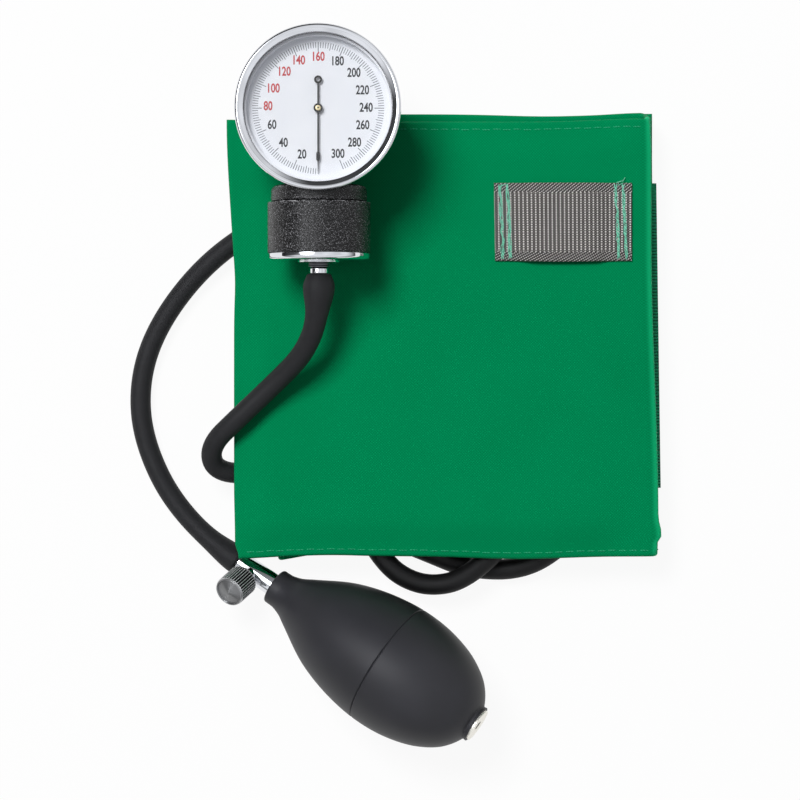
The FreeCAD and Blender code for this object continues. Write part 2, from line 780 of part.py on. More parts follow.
def sector_gear():
    """Sector gear, its rocking shaft and the lever that the push rod lifts."""
    step = 2 * math.pi / sector_teeth
    first = mesh_angle + sector_lead_teeth * step
    centres = [first - count * step for count in range(sector_cut_teeth)]
    half_tooth = sector_half_tooth_share * gear_module
    corners = toothed_edge(shaft_axis, sector_radius, centres[::-1], half_tooth, sector_low)
    hub = shaft_axis.origin + Vector(0, 0, sector_low)
    plate = Part.Face(Part.makePolygon([hub] + corners + [hub])).extrude(Vector(0, 0, sector_thick))
    boss = rod(shaft_axis, sector_low, sector_low + sector_thick, sector_boss_radius)
    shaft = rod(shaft_axis, base_low, bridge_high, shaft_radius)
    rest = -sector_sweep / 2
    tip = shaft_axis.origin + Vector(math.cos(rest), math.sin(rest), 0) * lever_radius
    lever_low = drum_z - lever_thick / 2
    arm = Part.makeBox(lever_radius, lever_width, lever_thick, Vector(0, -lever_width / 2, lever_low))
    arm.rotate(Vector(), Vector(0, 0, 1), math.degrees(rest))
    arm.translate(shaft_axis.origin)
    root = rod(shaft_axis, lever_low, lever_low + lever_thick, sector_boss_radius)
    end = Part.makeCylinder(lever_end_radius, lever_thick, tip + Vector(0, 0, lever_low))
    return fused([plate, boss, shaft, root, arm, end])


def pinion_arbor():
    """Pointer's arbor with its pinion and the hairspring's collet."""
    step = 2 * math.pi / pinion_teeth
    first = mesh_angle + math.pi + step / 2
    centres = [first + count * step for count in range(pinion_teeth)]
    half_tooth = pinion_half_tooth_share * gear_module
    corners = toothed_edge(dial_axis, pitch_radius, centres, half_tooth, pinion_low)
    pinion = Part.Face(Part.makePolygon(corners + corners[:1])).extrude(Vector(0, 0, pinion_length))
    arbor = rod(dial_axis, base_low, dial_top + pointer_lift, arbor_radius)
    collet = rod(dial_axis, collet_low, collet_low + collet_length, collet_radius)
    return fused([pinion, arbor, collet])


def pointer():
    """Thin hand at zero, pointing to the drum: needle, spade, ringed tail and hub."""
    low = dial_top + pointer_lift
    half = pointer_width / 2
    tip = pointer_tip_width / 2
    spade = spade_width / 2
    spade_end = pointer_reach - spade_tip_length
    spade_start = spade_end - spade_length
    middle = (spade_start + spade_end) / 2
    outline = [(0, half), (-spade_start, half), (-middle, spade), (-spade_end, tip), (-pointer_reach, tip)]
    mirrored = [(along, -out) for along, out in reversed(outline)]
    tail = [(pointer_tail, -half), (pointer_tail, half)]
    corners = [Vector(gauge_x + out, dial_y + along, low) for along, out in outline + mirrored + tail]
    hand = Part.Face(Part.makePolygon(corners + corners[:1])).extrude(Vector(0, 0, pointer_thick))
    ring_axis = Axis(Vector(gauge_x, dial_y + pointer_tail, 0), Vector(0, 0, 1), Vector(1, 0, 0))
    eye = rod(ring_axis, low, low + pointer_thick, tail_ring_radius)
    hub = rod(dial_axis, low, low + pointer_hub_length, pointer_hub_radius)
    return fused([hand, eye, hub]).cut(rod(ring_axis, low, low + pointer_thick, tail_ring_hole))


def push_rod(capsule_top):
    """Rod from the capsule through the sleeve to the lever."""
    foot = capsule_top + contact_gap
    tip = shaft_y - lever_radius * math.sin(sector_sweep / 2) - lever_end_radius - contact_gap
    return lathe(drum_axis, [
        (foot, 0), (foot, rod_foot_radius), (foot + rod_foot_length, rod_foot_radius),
        (foot + rod_foot_length, rod_radius), (tip - rod_tip_length, rod_radius), (tip, rod_tip_radius),
        (tip, 0)])


def bulb_outline(shares, first, last):
    """Smooth edge in (along, radius) through shares of the bulb's length and radius, between two ends."""
    points = [first] + [(along * bulb_length, out * bulb_radius) for along, out in shares] + [last]
    curve = Part.BSplineCurve()
    curve.interpolate([Vector(along, out, 0) for along, out in points])
    return curve


def bulb_axis():
    """Axis from the bulb's neck to its far end, at the height where its belly just touches the surface."""
    turn = math.radians(bulb_turn_degrees)
    tilt = math.radians(bulb_tilt_degrees)
    along = Vector(math.cos(turn) * math.cos(tilt), math.sin(turn) * math.cos(tilt), math.sin(tilt))
    level = Vector(math.sin(turn), -math.cos(turn), 0)
    curve = outer_curve()
    span = curve.LastParameter - curve.FirstParameter
    steps = [curve.value(curve.FirstParameter + span * step / curve_steps) for step in range(curve_steps + 1)]
    height = max(point.y * math.cos(tilt) - point.x * math.sin(tilt) for point in steps)
    return Axis(Vector(neck_x, neck_y, height), along, level)


def outer_curve():
    """Bulb's outer edge, from the end of its neck to the lip round its inlet valve."""
    return bulb_outline(bulb_curve_shares, (neck_length, neck_radius), (bulb_length - tail_lip, tail_radius))


def bulb(axis):
    """Hollow rubber bulb with a bore for the valve in its neck and one for the inlet valve in its end."""
    neck_bore = valve_radius + fit_clearance
    tail_bore = inlet_radius + fit_clearance
    tail_start = bulb_length - inlet_length
    outer = outer_curve()
    inner = bulb_outline(cavity_curve_shares, (neck_depth, neck_bore), (tail_start, tail_bore))

    def at(along, out):
        return point_on(axis, along, out)

    def placed(curve):
        poles = [at(pole.x, pole.y) for pole in curve.getPoles()]
        edge = Part.BSplineCurve()
        edge.buildFromPolesMultsKnots(poles, curve.getMultiplicities(), curve.getKnots(), False, curve.Degree)
        return edge.toShape()

    def line(start, end):
        return Part.LineSegment(at(*start), at(*end)).toShape()

    lip = bulb_length - tail_lip
    edges = [line((0, neck_bore), (0, neck_radius)), line((0, neck_radius), (neck_length, neck_radius)),
             placed(outer), line((lip, tail_radius), (bulb_length, tail_radius)),
             line((bulb_length, tail_radius), (bulb_length, tail_bore)),
             line((bulb_length, tail_bore), (tail_start, tail_bore)), placed(inner),
             line((neck_depth, neck_bore), (0, neck_bore))]
    face = Part.Face(Part.Wire(Part.__sortEdges__(edges)))
    return face.revolve(axis.origin, axis.along, 360)


def release_axis(axis):
    """Axis of the release screw: square to the valve, leaning up and away from the cuff."""
    lift = axis.side.cross(axis.along)
    lean = math.radians(release_lean_degrees)
    out = axis.side * math.cos(lean) + lift * math.sin(lean)
    return Axis(point_on(axis, -release_at, 0), out, axis.along)


def valve_body(axis, screw_axis):
    """Turned valve: hose spigot, round body, boss for the release screw and a spigot in the bulb's neck."""
    body = lathe(axis, [
        (-valve_reach - port_insert, valve_bore_radius), (-valve_reach - port_insert, hose_bore_fit),
        (-valve_reach, hose_bore_fit), (-valve_reach, valve_radius), (valve_spigot, valve_radius),
        (valve_spigot, outlet_chamber_radius), (outlet_chamber_start, outlet_chamber_radius),
        (outlet_chamber_start, valve_bore_radius)])
    boss = rod(screw_axis, 0, release_boss_end, release_boss_radius)
    boss = boss.cut(rod(axis, -valve_reach, outlet_chamber_start, valve_bore_radius))
    cuts = [rod(screw_axis, 0, release_boss_end, release_seat_radius),
            rod(screw_axis, release_bore_start, release_boss_end, stem_radius + stem_clearance),
            rod(screw_axis, groove_start, groove_start + groove_width, groove_radius)]
    return fused([body, boss]).cut(cuts)


def release_o_ring(screw_axis):
    """Rubber ring in the boss's groove, round the screw's stem."""
    centre_radius = stem_radius + o_ring_clearance + o_ring_radius
    centre = point_on(screw_axis, groove_start + groove_width / 2, 0)
    return Part.makeTorus(centre_radius, o_ring_radius, centre, screw_axis.along)


def release_needle(screw_axis):
    """Needle that closes the vent, carried in the knob's stem."""
    shoulder = needle_tip_start + needle_tip_length
    return lathe(screw_axis, [
        (needle_tip_start, 0), (needle_tip_start, needle_tip_radius), (shoulder, needle_radius),
        (needle_end, needle_radius), (needle_end, 0)])


def release_knob(screw_axis):
    """Knurled thumb screw with a dished face, its stem and the bore for the needle."""
    across = screw_axis.along.cross(screw_axis.side)
    corners = []
    for count in range(2 * knob_ridges + 1):
        angle = math.pi * count / knob_ridges
        radius = knob_radius - knob_groove * (count % 2)
        corners.append(point_on(screw_axis, knob_start, radius * math.cos(angle))
                       + across * (radius * math.sin(angle)))
    grip = Part.Face(Part.makePolygon(corners)).extrude(screw_axis.along * (knob_end - knob_start))
    shoulder = knob_radius - knob_chamfer
    form = lathe(screw_axis, [
        (knob_start, 0), (knob_start, shoulder), (knob_start + knob_chamfer, knob_radius),
        (knob_end - knob_chamfer, knob_radius), (knob_end, shoulder), (knob_end - knob_dish, 0)])
    stem = rod(screw_axis, stem_start, knob_start, stem_radius)
    bore = rod(screw_axis, stem_start, needle_end + contact_gap, needle_radius + fit_clearance)
    return fused([grip.common(form), stem]).cut(bore)


def inlet_valve_body(axis):
    """Turned insert in the bulb's end: flange, inlet hole, seat and the chamber of its disc."""
    start = bulb_length - inlet_length
    seat = bulb_length - inlet_seat
    flange_top = bulb_length + inlet_flange_thick
    return lathe(axis, [
        (start, inlet_chamber_radius), (start, inlet_radius), (bulb_length, inlet_radius),
        (bulb_length, inlet_flange_radius), (flange_top, inlet_flange_radius),
        (flange_top, inlet_hole_radius), (seat, inlet_hole_radius), (seat, inlet_chamber_radius)])


def save(name, shape):
    """Write one piece as a STEP file, after testing that it is sound."""
    if not shape.isValid():
        print(name, "is not valid")
    print(name, "solids", len(shape.Solids), "volume", round(shape.Volume, 2))
    shape.exportStep("parts/" + name + ".step")


os.makedirs("parts", exist_ok=True)
gauge_route = fitting_lead(drum_axis, nipple_end) + gauge_hose_points
tilted = bulb_axis()
screw = release_axis(tilted)
bulb_route = fitting_lead(tilted, -valve_reach) + bulb_hose_points
gauge_port = port_axis_at(gauge_route)
bulb_port = port_axis_at(bulb_route)
capsule_stack, capsule_top = capsule()
outlet_disc_end = outlet_seat_start - disc_gap
inlet_disc_end = bulb_length - inlet_seat - disc_gap
inlet_start = bulb_length - inlet_length

save("cuff_cover", cuff_cover())
save("cuff_bladder", cuff_bladder())
save("bladder_port_gauge", bladder_port(gauge_port, gauge_route))
save("bladder_port_bulb", bladder_port(bulb_port, bulb_route))
save("gauge_loop", gauge_loop())
save("hook_tape", hook_tape())
save("loop_tape", loop_tape())
save("gauge_hose", hose("gauge_hose", gauge_route))
save("bulb_hose", hose("bulb_hose", bulb_route))
save("drum_housing", drum_housing())
save("drum_cap", drum_cap())
save("base_plate", base_plate())
save("hose_nipple", hose_nipple())
save("capsule", capsule_stack)
save("gauge_hook", gauge_hook())
save("hook_rivets", hook_rivets())
save("gauge_case", gauge_case())
save("case_sleeve", case_sleeve())
save("sleeve_nut", sleeve_nut())
save("dial_plate", ring(dial_axis, dial_low, dial_top, dial_hole_radius, rim_inner_radius - fit_clearance))
save("dial_spacer", ring(dial_axis, dial_top, case_rim, rim_inner_radius - fit_clearance - spacer_wall,
                         rim_inner_radius - fit_clearance))
save("lens_gasket", ring(dial_axis, case_rim, lens_low, bezel_opening_radius, case_radius - fit_clearance))
save("lens", rod(dial_axis, lens_low, lens_high, case_radius - fit_clearance))
save("bezel", bezel())
save("movement_base", movement_plate(base_low))
save("movement_bridge", movement_bridge())
save("movement_pillars", movement_pillars())
save("movement_screws", movement_screws())
save("hairspring", hairspring())
save("sector_gear", sector_gear())
save("pinion_arbor", pinion_arbor())
save("pointer", pointer())
save("push_rod", push_rod(capsule_top))
save("bulb", bulb(tilted))
save("valve_body", valve_body(tilted, screw))
save("outlet_seat", ring(tilted, outlet_seat_start, valve_spigot, outlet_seat_bore,
                         outlet_chamber_radius - fit_clearance))
save("outlet_disc", rod(tilted, outlet_disc_end - disc_thick, outlet_disc_end, outlet_disc_radius))
save("release_o_ring", release_o_ring(screw))
save("release_needle", release_needle(screw))
save("release_knob", release_knob(screw))
save("inlet_valve_body", inlet_valve_body(tilted))
save("inlet_disc", rod(tilted, inlet_disc_end - disc_thick, inlet_disc_end, inlet_disc_radius))
save("inlet_retainer", ring(tilted, inlet_start, inlet_start + retainer_thick, retainer_hole_radius,
                            inlet_chamber_radius - fit_clearance))
print("origin of the bulb's neck", [round(value, 3) for value in tilted.origin])
print("bulb axis", [round(value, 5) for value in tilted.along])
print("release axis", [round(value, 5) for value in screw.along], [round(value, 3) for value in screw.origin])
print("sector shaft", round(shaft_x, 3), round(shaft_y, 3), "sweep", round(math.degrees(sector_sweep), 4))
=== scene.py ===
# %% [markdown]
# # A blood pressure monitor that is pumped by hand
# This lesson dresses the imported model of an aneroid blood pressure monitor: a folded green cuff, a dial gauge
# on a black drum, two rubber hoses, a chromed release valve and a squeeze bulb.
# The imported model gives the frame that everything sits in. Each new piece is worked out as whole numpy arrays
# in millimetres, and is turned into metres only when it becomes a mesh.

# %% Load the frame
import json
import math
import bmesh
import bpy
import mathutils
import numpy as np
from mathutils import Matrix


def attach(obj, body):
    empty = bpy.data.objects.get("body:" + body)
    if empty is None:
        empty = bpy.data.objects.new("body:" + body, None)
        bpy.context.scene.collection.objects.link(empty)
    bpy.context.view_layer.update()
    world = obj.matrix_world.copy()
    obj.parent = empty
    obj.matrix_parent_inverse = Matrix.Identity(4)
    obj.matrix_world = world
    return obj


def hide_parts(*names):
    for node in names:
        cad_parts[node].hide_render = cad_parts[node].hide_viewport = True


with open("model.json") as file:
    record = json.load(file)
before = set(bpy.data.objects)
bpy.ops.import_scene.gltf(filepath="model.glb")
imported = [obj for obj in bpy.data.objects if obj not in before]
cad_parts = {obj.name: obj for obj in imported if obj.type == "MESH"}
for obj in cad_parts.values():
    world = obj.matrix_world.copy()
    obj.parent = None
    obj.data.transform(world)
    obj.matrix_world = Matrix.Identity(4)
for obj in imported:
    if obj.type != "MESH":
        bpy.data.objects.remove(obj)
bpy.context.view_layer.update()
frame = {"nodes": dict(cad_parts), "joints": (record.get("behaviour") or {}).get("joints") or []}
joints = {joint["name"]: joint for joint in frame["joints"]}
scene = bpy.context.scene
scene.view_settings.view_transform = "Standard"
MM = 0.001

# %% [markdown]
# ## Camera
# The photograph looks straight down on the object from far away, so the camera hangs 1.2 m up and a long lens
# takes in about 270 mm. A camera that isn't turned looks down -Z with +Y at the top of the picture.

# %% Camera
camera_place = np.array([-14.82, -21.22, 1200])
focal_pixels = 3501.6
picture_pixels = 800
lens_data = bpy.data.cameras.new("camera")
lens_data.sensor_width = 36.0
lens_data.lens = lens_data.sensor_width * focal_pixels / picture_pixels
camera = bpy.data.objects.new("camera", lens_data)
camera.location = (camera_place * MM).tolist()
scene.collection.objects.link(camera)
scene.camera = camera
print("lens", round(lens_data.lens, 2), "mm")

# %% [markdown]
# ## Helpers for materials
# Colours are read off as sRGB hex codes, and shaders want linear light, so one function turns them round.
# A second function adds any node: its settings are properties, and its inputs are numbers, colours or links.

# %% Colour and node helpers
def linear(code):
    """Linear colour of an sRGB hex code: c / 12.92 up to 0.04045, else ((c + 0.055) / 1.055) ** 2.4."""
    channels = np.array([int(code[start:start + 2], 16) for start in (0, 2, 4)]) / 255
    bent = np.where(channels <= 0.04045, channels / 12.92, ((channels + 0.055) / 1.055) ** 2.4)
    return (*bent.tolist(), 1.0)


def add(material, kind, inputs=None, **settings):
    """One shader node with its settings. An input that is a socket is linked, and any other is set."""
    tree = material.node_tree
    made = tree.nodes.new("ShaderNode" + kind)
    for key, value in settings.items():
        setattr(made, key, value)
    for key, value in (inputs or {}).items():
        if isinstance(value, bpy.types.NodeSocket):
            tree.links.new(value, made.inputs[key])
        else:
            made.inputs[key].default_value = value
    return made


def surface(name, inputs):
    """Material named for the real one, with the constant values of its Principled shader."""
    material = bpy.data.materials.new(name)
    material.use_nodes = True
    shader = material.node_tree.nodes["Principled BSDF"]
    for key, value in inputs.items():
        shader.inputs[key].default_value = value
    print("finish", name)
    return material


def drive(material, **links):
    """Link node outputs to the Principled shader: Base_Color=socket goes to its Base Color."""
    shader = material.node_tree.nodes["Principled BSDF"]
    for key, socket in links.items():
        material.node_tree.links.new(socket, shader.inputs[key.replace("_", " ")])


print("green in linear light", [round(value, 3) for value in linear("008552")])

# %% [markdown]
# ## Helpers for shapes
# A surface over two parameters is a grid of points, and its faces join neighbours on that grid. A turned
# piece is a profile carried round an axis, and a hose is a circle carried along a path. All of them are the
# same kind of grid, so one function writes the mesh, closes its seams and poles, and turns its faces out.

# %% Short formulas
def ease(share):
    """Smooth step from 0 to 1: 3 s^2 - 2 s^3 of the share held between 0 and 1."""
    held = np.clip(share, 0, 1)
    return held * held * (3 - 2 * held)


def bell(values, at, width, power=2):
    """Bell-shaped hump of height 1: exp(-((v - at) / width)^power), with an even power."""
    return np.exp(-((values - at) / width) ** power)


def quarter_round(distance, radius):
    """Quarter circle from 0 at an edge to 1 at one radius from it and beyond."""
    return np.sqrt(1 - (1 - np.clip(distance / radius, 0, 1)) ** 2)


def full_turn(sides):
    """Angles of one full turn in equal steps."""
    return np.linspace(0, 2 * np.pi, sides, endpoint=False)


def unit(vectors):
    """Vectors divided by their own lengths."""
    return vectors / np.maximum(np.linalg.norm(vectors, axis=-1, keepdims=True), 1e-9)


def run_along(points):
    """Length along a line of points, counted from its first point."""
    return np.concatenate([[0], np.cumsum(np.linalg.norm(np.diff(points, axis=0), axis=1))])


def circles(across, up, turns):
    """Unit circles in the planes of paired vectors: cos a across + sin a up."""
    return np.cos(turns)[:, None] * across[..., None, :] + np.sin(turns)[:, None] * up[..., None, :]


print("a quarter eased", ease(0.25), "length of a 3 by 4 slope", run_along(np.array([(0, 0), (3, 4)]))[-1])

# %% Grid and mesh
def grid_faces(rows, columns):
    """Quads between neighbours of a grid whose last column joins its first."""
    row, column = np.meshgrid(np.arange(rows - 1), np.arange(columns), indexing="ij")
    here = row * columns + column
    beside = row * columns + (column + 1) % columns
    return np.stack([here, beside, beside + columns, here + columns], -1).reshape(-1, 4)


def make_piece(name, points, faces, material, slot, body="monitor", stands_for=(), uv=None, shade=None,
               sharp=38):
    """Closed mesh piece from points in mm. uv and shade are one value for each point."""
    points = np.asarray(points, float).reshape(-1, 3)
    mesh = bpy.data.meshes.new(name)
    mesh.from_pydata((points * MM).tolist(), [], [list(face) for face in faces])
    corner = np.zeros(len(mesh.loops), np.int32)
    mesh.loops.foreach_get("vertex_index", corner)
    if uv is not None:
        layer = mesh.uv_layers.new(name="millimetres")
        layer.data.foreach_set("uv", np.asarray(uv, np.float32).reshape(-1, 2)[corner].ravel())
    if shade is not None:
        layer = mesh.attributes.new("shade", "FLOAT", "POINT")
        layer.data.foreach_set("value", np.asarray(shade, np.float32).ravel())
    work = bmesh.new()
    work.from_mesh(mesh)
    bmesh.ops.remove_doubles(work, verts=work.verts, dist=1e-7)
    bmesh.ops.recalc_face_normals(work, faces=work.faces)
    work.to_mesh(mesh)
    work.free()
    mesh.shade_smooth()
    mesh.set_sharp_from_angle(angle=math.radians(sharp))
    made = bpy.data.objects.new(name, mesh)
    scene.collection.objects.link(made)
    made.data.materials.append(material)
    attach(made, body)
    if stands_for:
        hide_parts(*stands_for)
    print(name, len(mesh.polygons), "faces")
    return made


print("faces of a grid of 3 by 4", len(grid_faces(3, 4)))

# %% [markdown]
# ## Rubber hoses
# The hoses are extruded black rubber, 7 mm across, pushed over their fittings so that the ends swell. They
# lie in loose loops, partly inside the fold of the cuff. A hose could be a curve with a bevel, but swollen
# ends and round lips are easier to give as one formula for the radius. So the route's points are the control
# points of a NURBS spline, which is one smooth curve, and a circle is carried along the points that Blender
# reads from it.

# %% Hose rubber
def bloomed_rubber(name, values, shaded_tone, bloom, bloom_size, detail, pit_size, pit_strength):
    """Black rubber: a painted shaded tone where the shade is 0, two tones of bloom in patches where it is 1,
    fine pits.
    """
    rubber = surface(name, values)
    place = add(rubber, "TexCoord").outputs["Object"]
    patch = add(rubber, "TexNoise", {"Vector": place, "Scale": 1 / (bloom_size * MM), "Detail": detail})
    tones = {0: patch.outputs[0], 6: linear(bloom[0]), 7: linear(bloom[1])}
    bloomed = add(rubber, "Mix", tones, data_type="RGBA")
    shade = add(rubber, "Attribute", attribute_name="shade").outputs["Fac"]
    tone = add(rubber, "Mix", {0: shade, 6: linear(shaded_tone), 7: bloomed.outputs[2]}, data_type="RGBA")
    pits = add(rubber, "TexNoise", {"Vector": place, "Scale": 1 / (pit_size * MM), "Detail": 2.0})
    relief = add(rubber, "Bump", {"Strength": pit_strength, "Distance": 0.05 * MM, "Height": pits.outputs[0]})
    drive(rubber, Base_Color=tone.outputs[2], Normal=relief.outputs[0])
    return rubber


# Extruded rubber is nearly black with a soft grey bloom, so it shows a broad dull highlight and faint
# mottling. The loop at the cuff's lower edge is painted plain black, as painted shade from the cuff.
hose_rubber = bloomed_rubber(
    "extruded_hose_rubber", {"Roughness": 0.6, "Specular IOR Level": 0.26, "IOR": 1.52}, shaded_tone="0c0c0d",
    bloom=("1b1b1d", "252527"), bloom_size=3.0, detail=4.0, pit_size=0.45, pit_strength=0.06)

# %% Hose routes
gauge_route = np.array([
    (-41.6, 20.6, 40.9), (-41.6, 7.9, 40.9), (-46.1, -5.2, 33.5), (-57.7, -16.5, 25.8), (-69.2, -27.3, 24.6),
    (-78.5, -36.1, 19.5), (-78.5, -43.9, 13.5), (-70.5, -46.7, 10.3), (-58.3, -44.0, 10.0),
    (-44.7, -37.2, 10.0), (-31.1, -27.3, 10.0), (-16.2, -18.2, 10.0), (0.8, -13.7, 10.0), (17.8, -16.5, 10.0),
    (31.1, -26.3, 10.0), (36.4, -40.6, 10.0), (33.0, -55.5, 9.8), (22.9, -67.6, 9.5), (7.6, -82.0, 11.9),
    (-4.6, -84.7, 10.4), (-15.2, -81.0, 9.9), (-22.3, -73.2, 10.0), (-27.1, -64.0, 10.0),
    (-30.1, -54.2, 10.0)])
bulb_route = np.array([
    (-69.342, -76.317, 8.273), (-79.643, -69.46, 5.416), (-92.9, -55.0, 3.7), (-100.7, -39.3, 3.7),
    (-104.0, -24.0, 3.7), (-102.3, -7.9, 3.7), (-95.4, 7.5, 3.7), (-83.1, 23.2, 4.2), (-68.6, 34.6, 7.6),
    (-52.2, 42.7, 10.2), (-33.9, 47.1, 10.0), (-14.1, 47.4, 10.0), (5.6, 43.0, 10.0), (23.6, 32.8, 10.0),
    (38.2, 18.2, 10.0), (48.4, -0.1, 10.0), (53.5, -20.5, 10.0), (53.5, -40.6, 10.0), (49.1, -57.6, 10.0),
    (41.8, -69.6, 9.8), (27.6, -79.2, 4.0), (9.1, -79.0, 3.7), (-4.6, -73.3, 7.4), (-13.5, -68.8, 9.9)])


def read_curve(curve):
    """Points and faces of the mesh that Blender makes from a curve. The curve is removed afterwards."""
    holder = bpy.data.objects.new("holder", curve)
    mesh = bpy.data.meshes.new_from_object(holder)
    points = np.zeros(len(mesh.vertices) * 3)
    mesh.vertices.foreach_get("co", points)
    faces = [list(face.vertices) for face in mesh.polygons]
    bpy.data.meshes.remove(mesh)
    bpy.data.objects.remove(holder)
    bpy.data.curves.remove(curve)
    return points.reshape(-1, 3), faces


def smooth_line(route):
    """Points, in mm, along a NURBS spline of order 3 whose control points are the route's."""
    curve = bpy.data.curves.new("route", "CURVE")
    curve.dimensions = "3D"
    curve.resolution_u = 10
    spline = curve.splines.new("NURBS")
    spline.points.add(len(route) - 1)
    spline.points.foreach_set("co", np.c_[route, np.ones(len(route))].ravel())
    spline.order_u = 3
    spline.use_endpoint_u = True
    return read_curve(curve)[0]


gauge_line = smooth_line(gauge_route)
bulb_line = smooth_line(bulb_route)
print("points read", len(gauge_line), len(bulb_line))

# %% Hose surfaces
hose_radius = 3.5
station_step = 1.2
lip_depth, lip_length = 0.55, 0.8
tail_swell = 0.5
# The hose is painted in shade below this y and right of this x, where the cuff shades it.
shaded_loop_top, shaded_loop_left = -62, -45
top_blend, left_blend = 6, 10


def clean_share(points):
    """1 on the loop at the cuff's lower edge, which is painted in shade, easing to 0 above it and left of it.
    """
    below = ease((shaded_loop_top - points[..., 1]) / top_blend)
    return below * ease((points[..., 0] - shaded_loop_left) / left_blend)


def hose(name, line, swell, swell_at, swell_lengths, sides=40):
    """Circle carried along a line: hose radius + swell exp(-((s - at) / length)^2), with round lips."""
    run = run_along(line)
    lip = np.array([0, 0.08, 0.25, 0.5, lip_length])
    stations = np.concatenate([lip, np.arange(1.5, run[-1] - 1, station_step), run[-1] - lip[::-1]])
    centre = np.stack([np.interp(stations, run, line[:, axis]) for axis in range(3)], 1)
    tangent = unit(np.gradient(centre, stations, axis=0))
    across = unit(np.cross([0, 0, 1.0], tangent))
    from_end = run[-1] - stations
    swell_length = np.where(stations < swell_at, swell_lengths[0], swell_lengths[1])
    radius = hose_radius + swell * bell(stations, swell_at, swell_length)
    radius += tail_swell * bell(from_end, 0, swell_lengths[1])
    radius -= lip_depth * (1 - quarter_round(np.minimum(stations, from_end), lip_length))
    ring = circles(across, np.cross(tangent, across), full_turn(sides))
    ends = centre[[0, -1], None].repeat(sides, 1)
    points = np.concatenate([ends[:1], centre[:, None] + radius[:, None, None] * ring, ends[1:]])
    made = make_piece(name + "_rubber", points, grid_faces(len(points), sides), hose_rubber, "hose_rubber",
                      # Painted shade: the loop under the cuff's edge gets the shaded tone.
                      stands_for=[name], shade=1 - clean_share(points))
    print(name, "length", round(run[-1], 1), "mm")


hose("gauge_hose", gauge_line, swell=1.8, swell_at=4.2, swell_lengths=(3.6, 7.2))
hose("bulb_hose", bulb_line, swell=1.3, swell_at=1.0, swell_lengths=(2.5, 9.0))

# %% [markdown]
# ## Studio
# The object lies on a white sheet under one large soft lamp from the upper left. The floor shows as white to
# the camera and to reflections, and keeps a faint shadow, because part of it stays a plain diffuse white.
# Polished chrome needs something dark to reflect, so reflections see a dark screen in the world's sky.

# %% Floor
floor_white = bpy.data.materials.new("studio_paper")
floor_white.use_nodes = True
floor_white.node_tree.nodes.remove(floor_white.node_tree.nodes["Principled BSDF"])
white_share = 0.93
path = add(floor_white, "LightPath").outputs
seen = add(floor_white, "Math", {0: path["Is Camera Ray"], 1: path["Is Glossy Ray"]}, operation="MAXIMUM")
seen = add(floor_white, "Math", {0: seen.outputs[0], 1: path["Is Transmission Ray"]}, operation="MAXIMUM")
share = add(floor_white, "Math", {0: seen.outputs[0], 1: white_share}, operation="MULTIPLY")
paper = add(floor_white, "BsdfDiffuse", {"Color": linear("f4f4f4")})
glow = add(floor_white, "Emission", {"Color": linear("ffffff"), "Strength": 1.0})
mixed = add(floor_white, "MixShader", {0: share.outputs[0], 1: paper.outputs[0], 2: glow.outputs[0]})
output = floor_white.node_tree.nodes["Material Output"]
floor_white.node_tree.links.new(mixed.outputs[0], output.inputs["Surface"])

half_floor = 1.5
floor_corners = [(-half_floor, -half_floor, 0), (half_floor, -half_floor, 0), (half_floor, half_floor, 0),
                 (-half_floor, half_floor, 0)]
floor_mesh = bpy.data.meshes.new("floor")
floor_mesh.from_pydata(floor_corners, [], [(0, 1, 2, 3)])
floor_mesh.materials.append(floor_white)
floor = bpy.data.objects.new("floor", floor_mesh)
scene.collection.objects.link(floor)
print("floor", 2 * half_floor, "m wide")

# %% World
world = bpy.data.worlds.new("studio")
world.use_nodes = True
sky = world.node_tree.nodes["Background"]
sky.inputs["Color"].default_value = linear("f6f8fb")
direction = add(world, "TexCoord").outputs["Generated"]
# Polished metal sees a dark screen low on the side of the lamp, a thin dark horizon, the lamp as a soft patch
# and white elsewhere. The lamp itself is kept out of reflections, because its hard edge would glare there.
screen_side = (-0.68, 0.73, 0.0)
patch_side, patch_strength = (-0.44, 0.2, 0.875), 9.0
soft_fill = 0.22
to_screen = add(world, "VectorMath", {0: direction, 1: screen_side}, operation="DOT_PRODUCT")
screen = add(world, "MapRange", {0: to_screen.outputs["Value"], 1: 0.2, 2: 0.62, 3: 1.0, 4: 0.08})
height = add(world, "SeparateXYZ", {0: direction})
horizon = add(world, "MapRange", {0: height.outputs["Z"], 1: 0.0, 2: 0.42, 3: 0.1, 4: 1.0})
mirrored = add(world, "Math", {0: screen.outputs[0], 1: horizon.outputs[0]}, operation="MULTIPLY")
uneven = add(world, "TexNoise", {"Vector": direction, "Scale": 2.2, "Detail": 1.0})
cloudy = add(world, "MapRange", {0: uneven.outputs[0], 1: 0.35, 2: 0.65, 3: 0.78, 4: 1.05})
mirrored = add(world, "Math", {0: mirrored.outputs[0], 1: cloudy.outputs[0]}, operation="MULTIPLY")
to_patch = add(world, "VectorMath", {0: direction, 1: patch_side}, operation="DOT_PRODUCT")
patch = add(world, "MapRange", {0: to_patch.outputs["Value"], 1: 0.95, 2: 0.99, 3: 0.0, 4: patch_strength})
mirrored = add(world, "Math", {0: mirrored.outputs[0], 1: patch.outputs[0]}, operation="ADD")
path = add(world, "LightPath").outputs
plain = add(world, "Math", {0: path["Is Camera Ray"], 1: path["Is Transmission Ray"]}, operation="MAXIMUM")
lit = add(world, "Mix", {0: path["Is Glossy Ray"], 2: soft_fill, 3: mirrored.outputs[0]})
level = add(world, "Mix", {0: plain.outputs[0], 2: lit.outputs[0], 3: 1.0})
world.node_tree.links.new(level.outputs[0], sky.inputs["Strength"])
scene.world = world
print("fill from the sky", soft_fill)

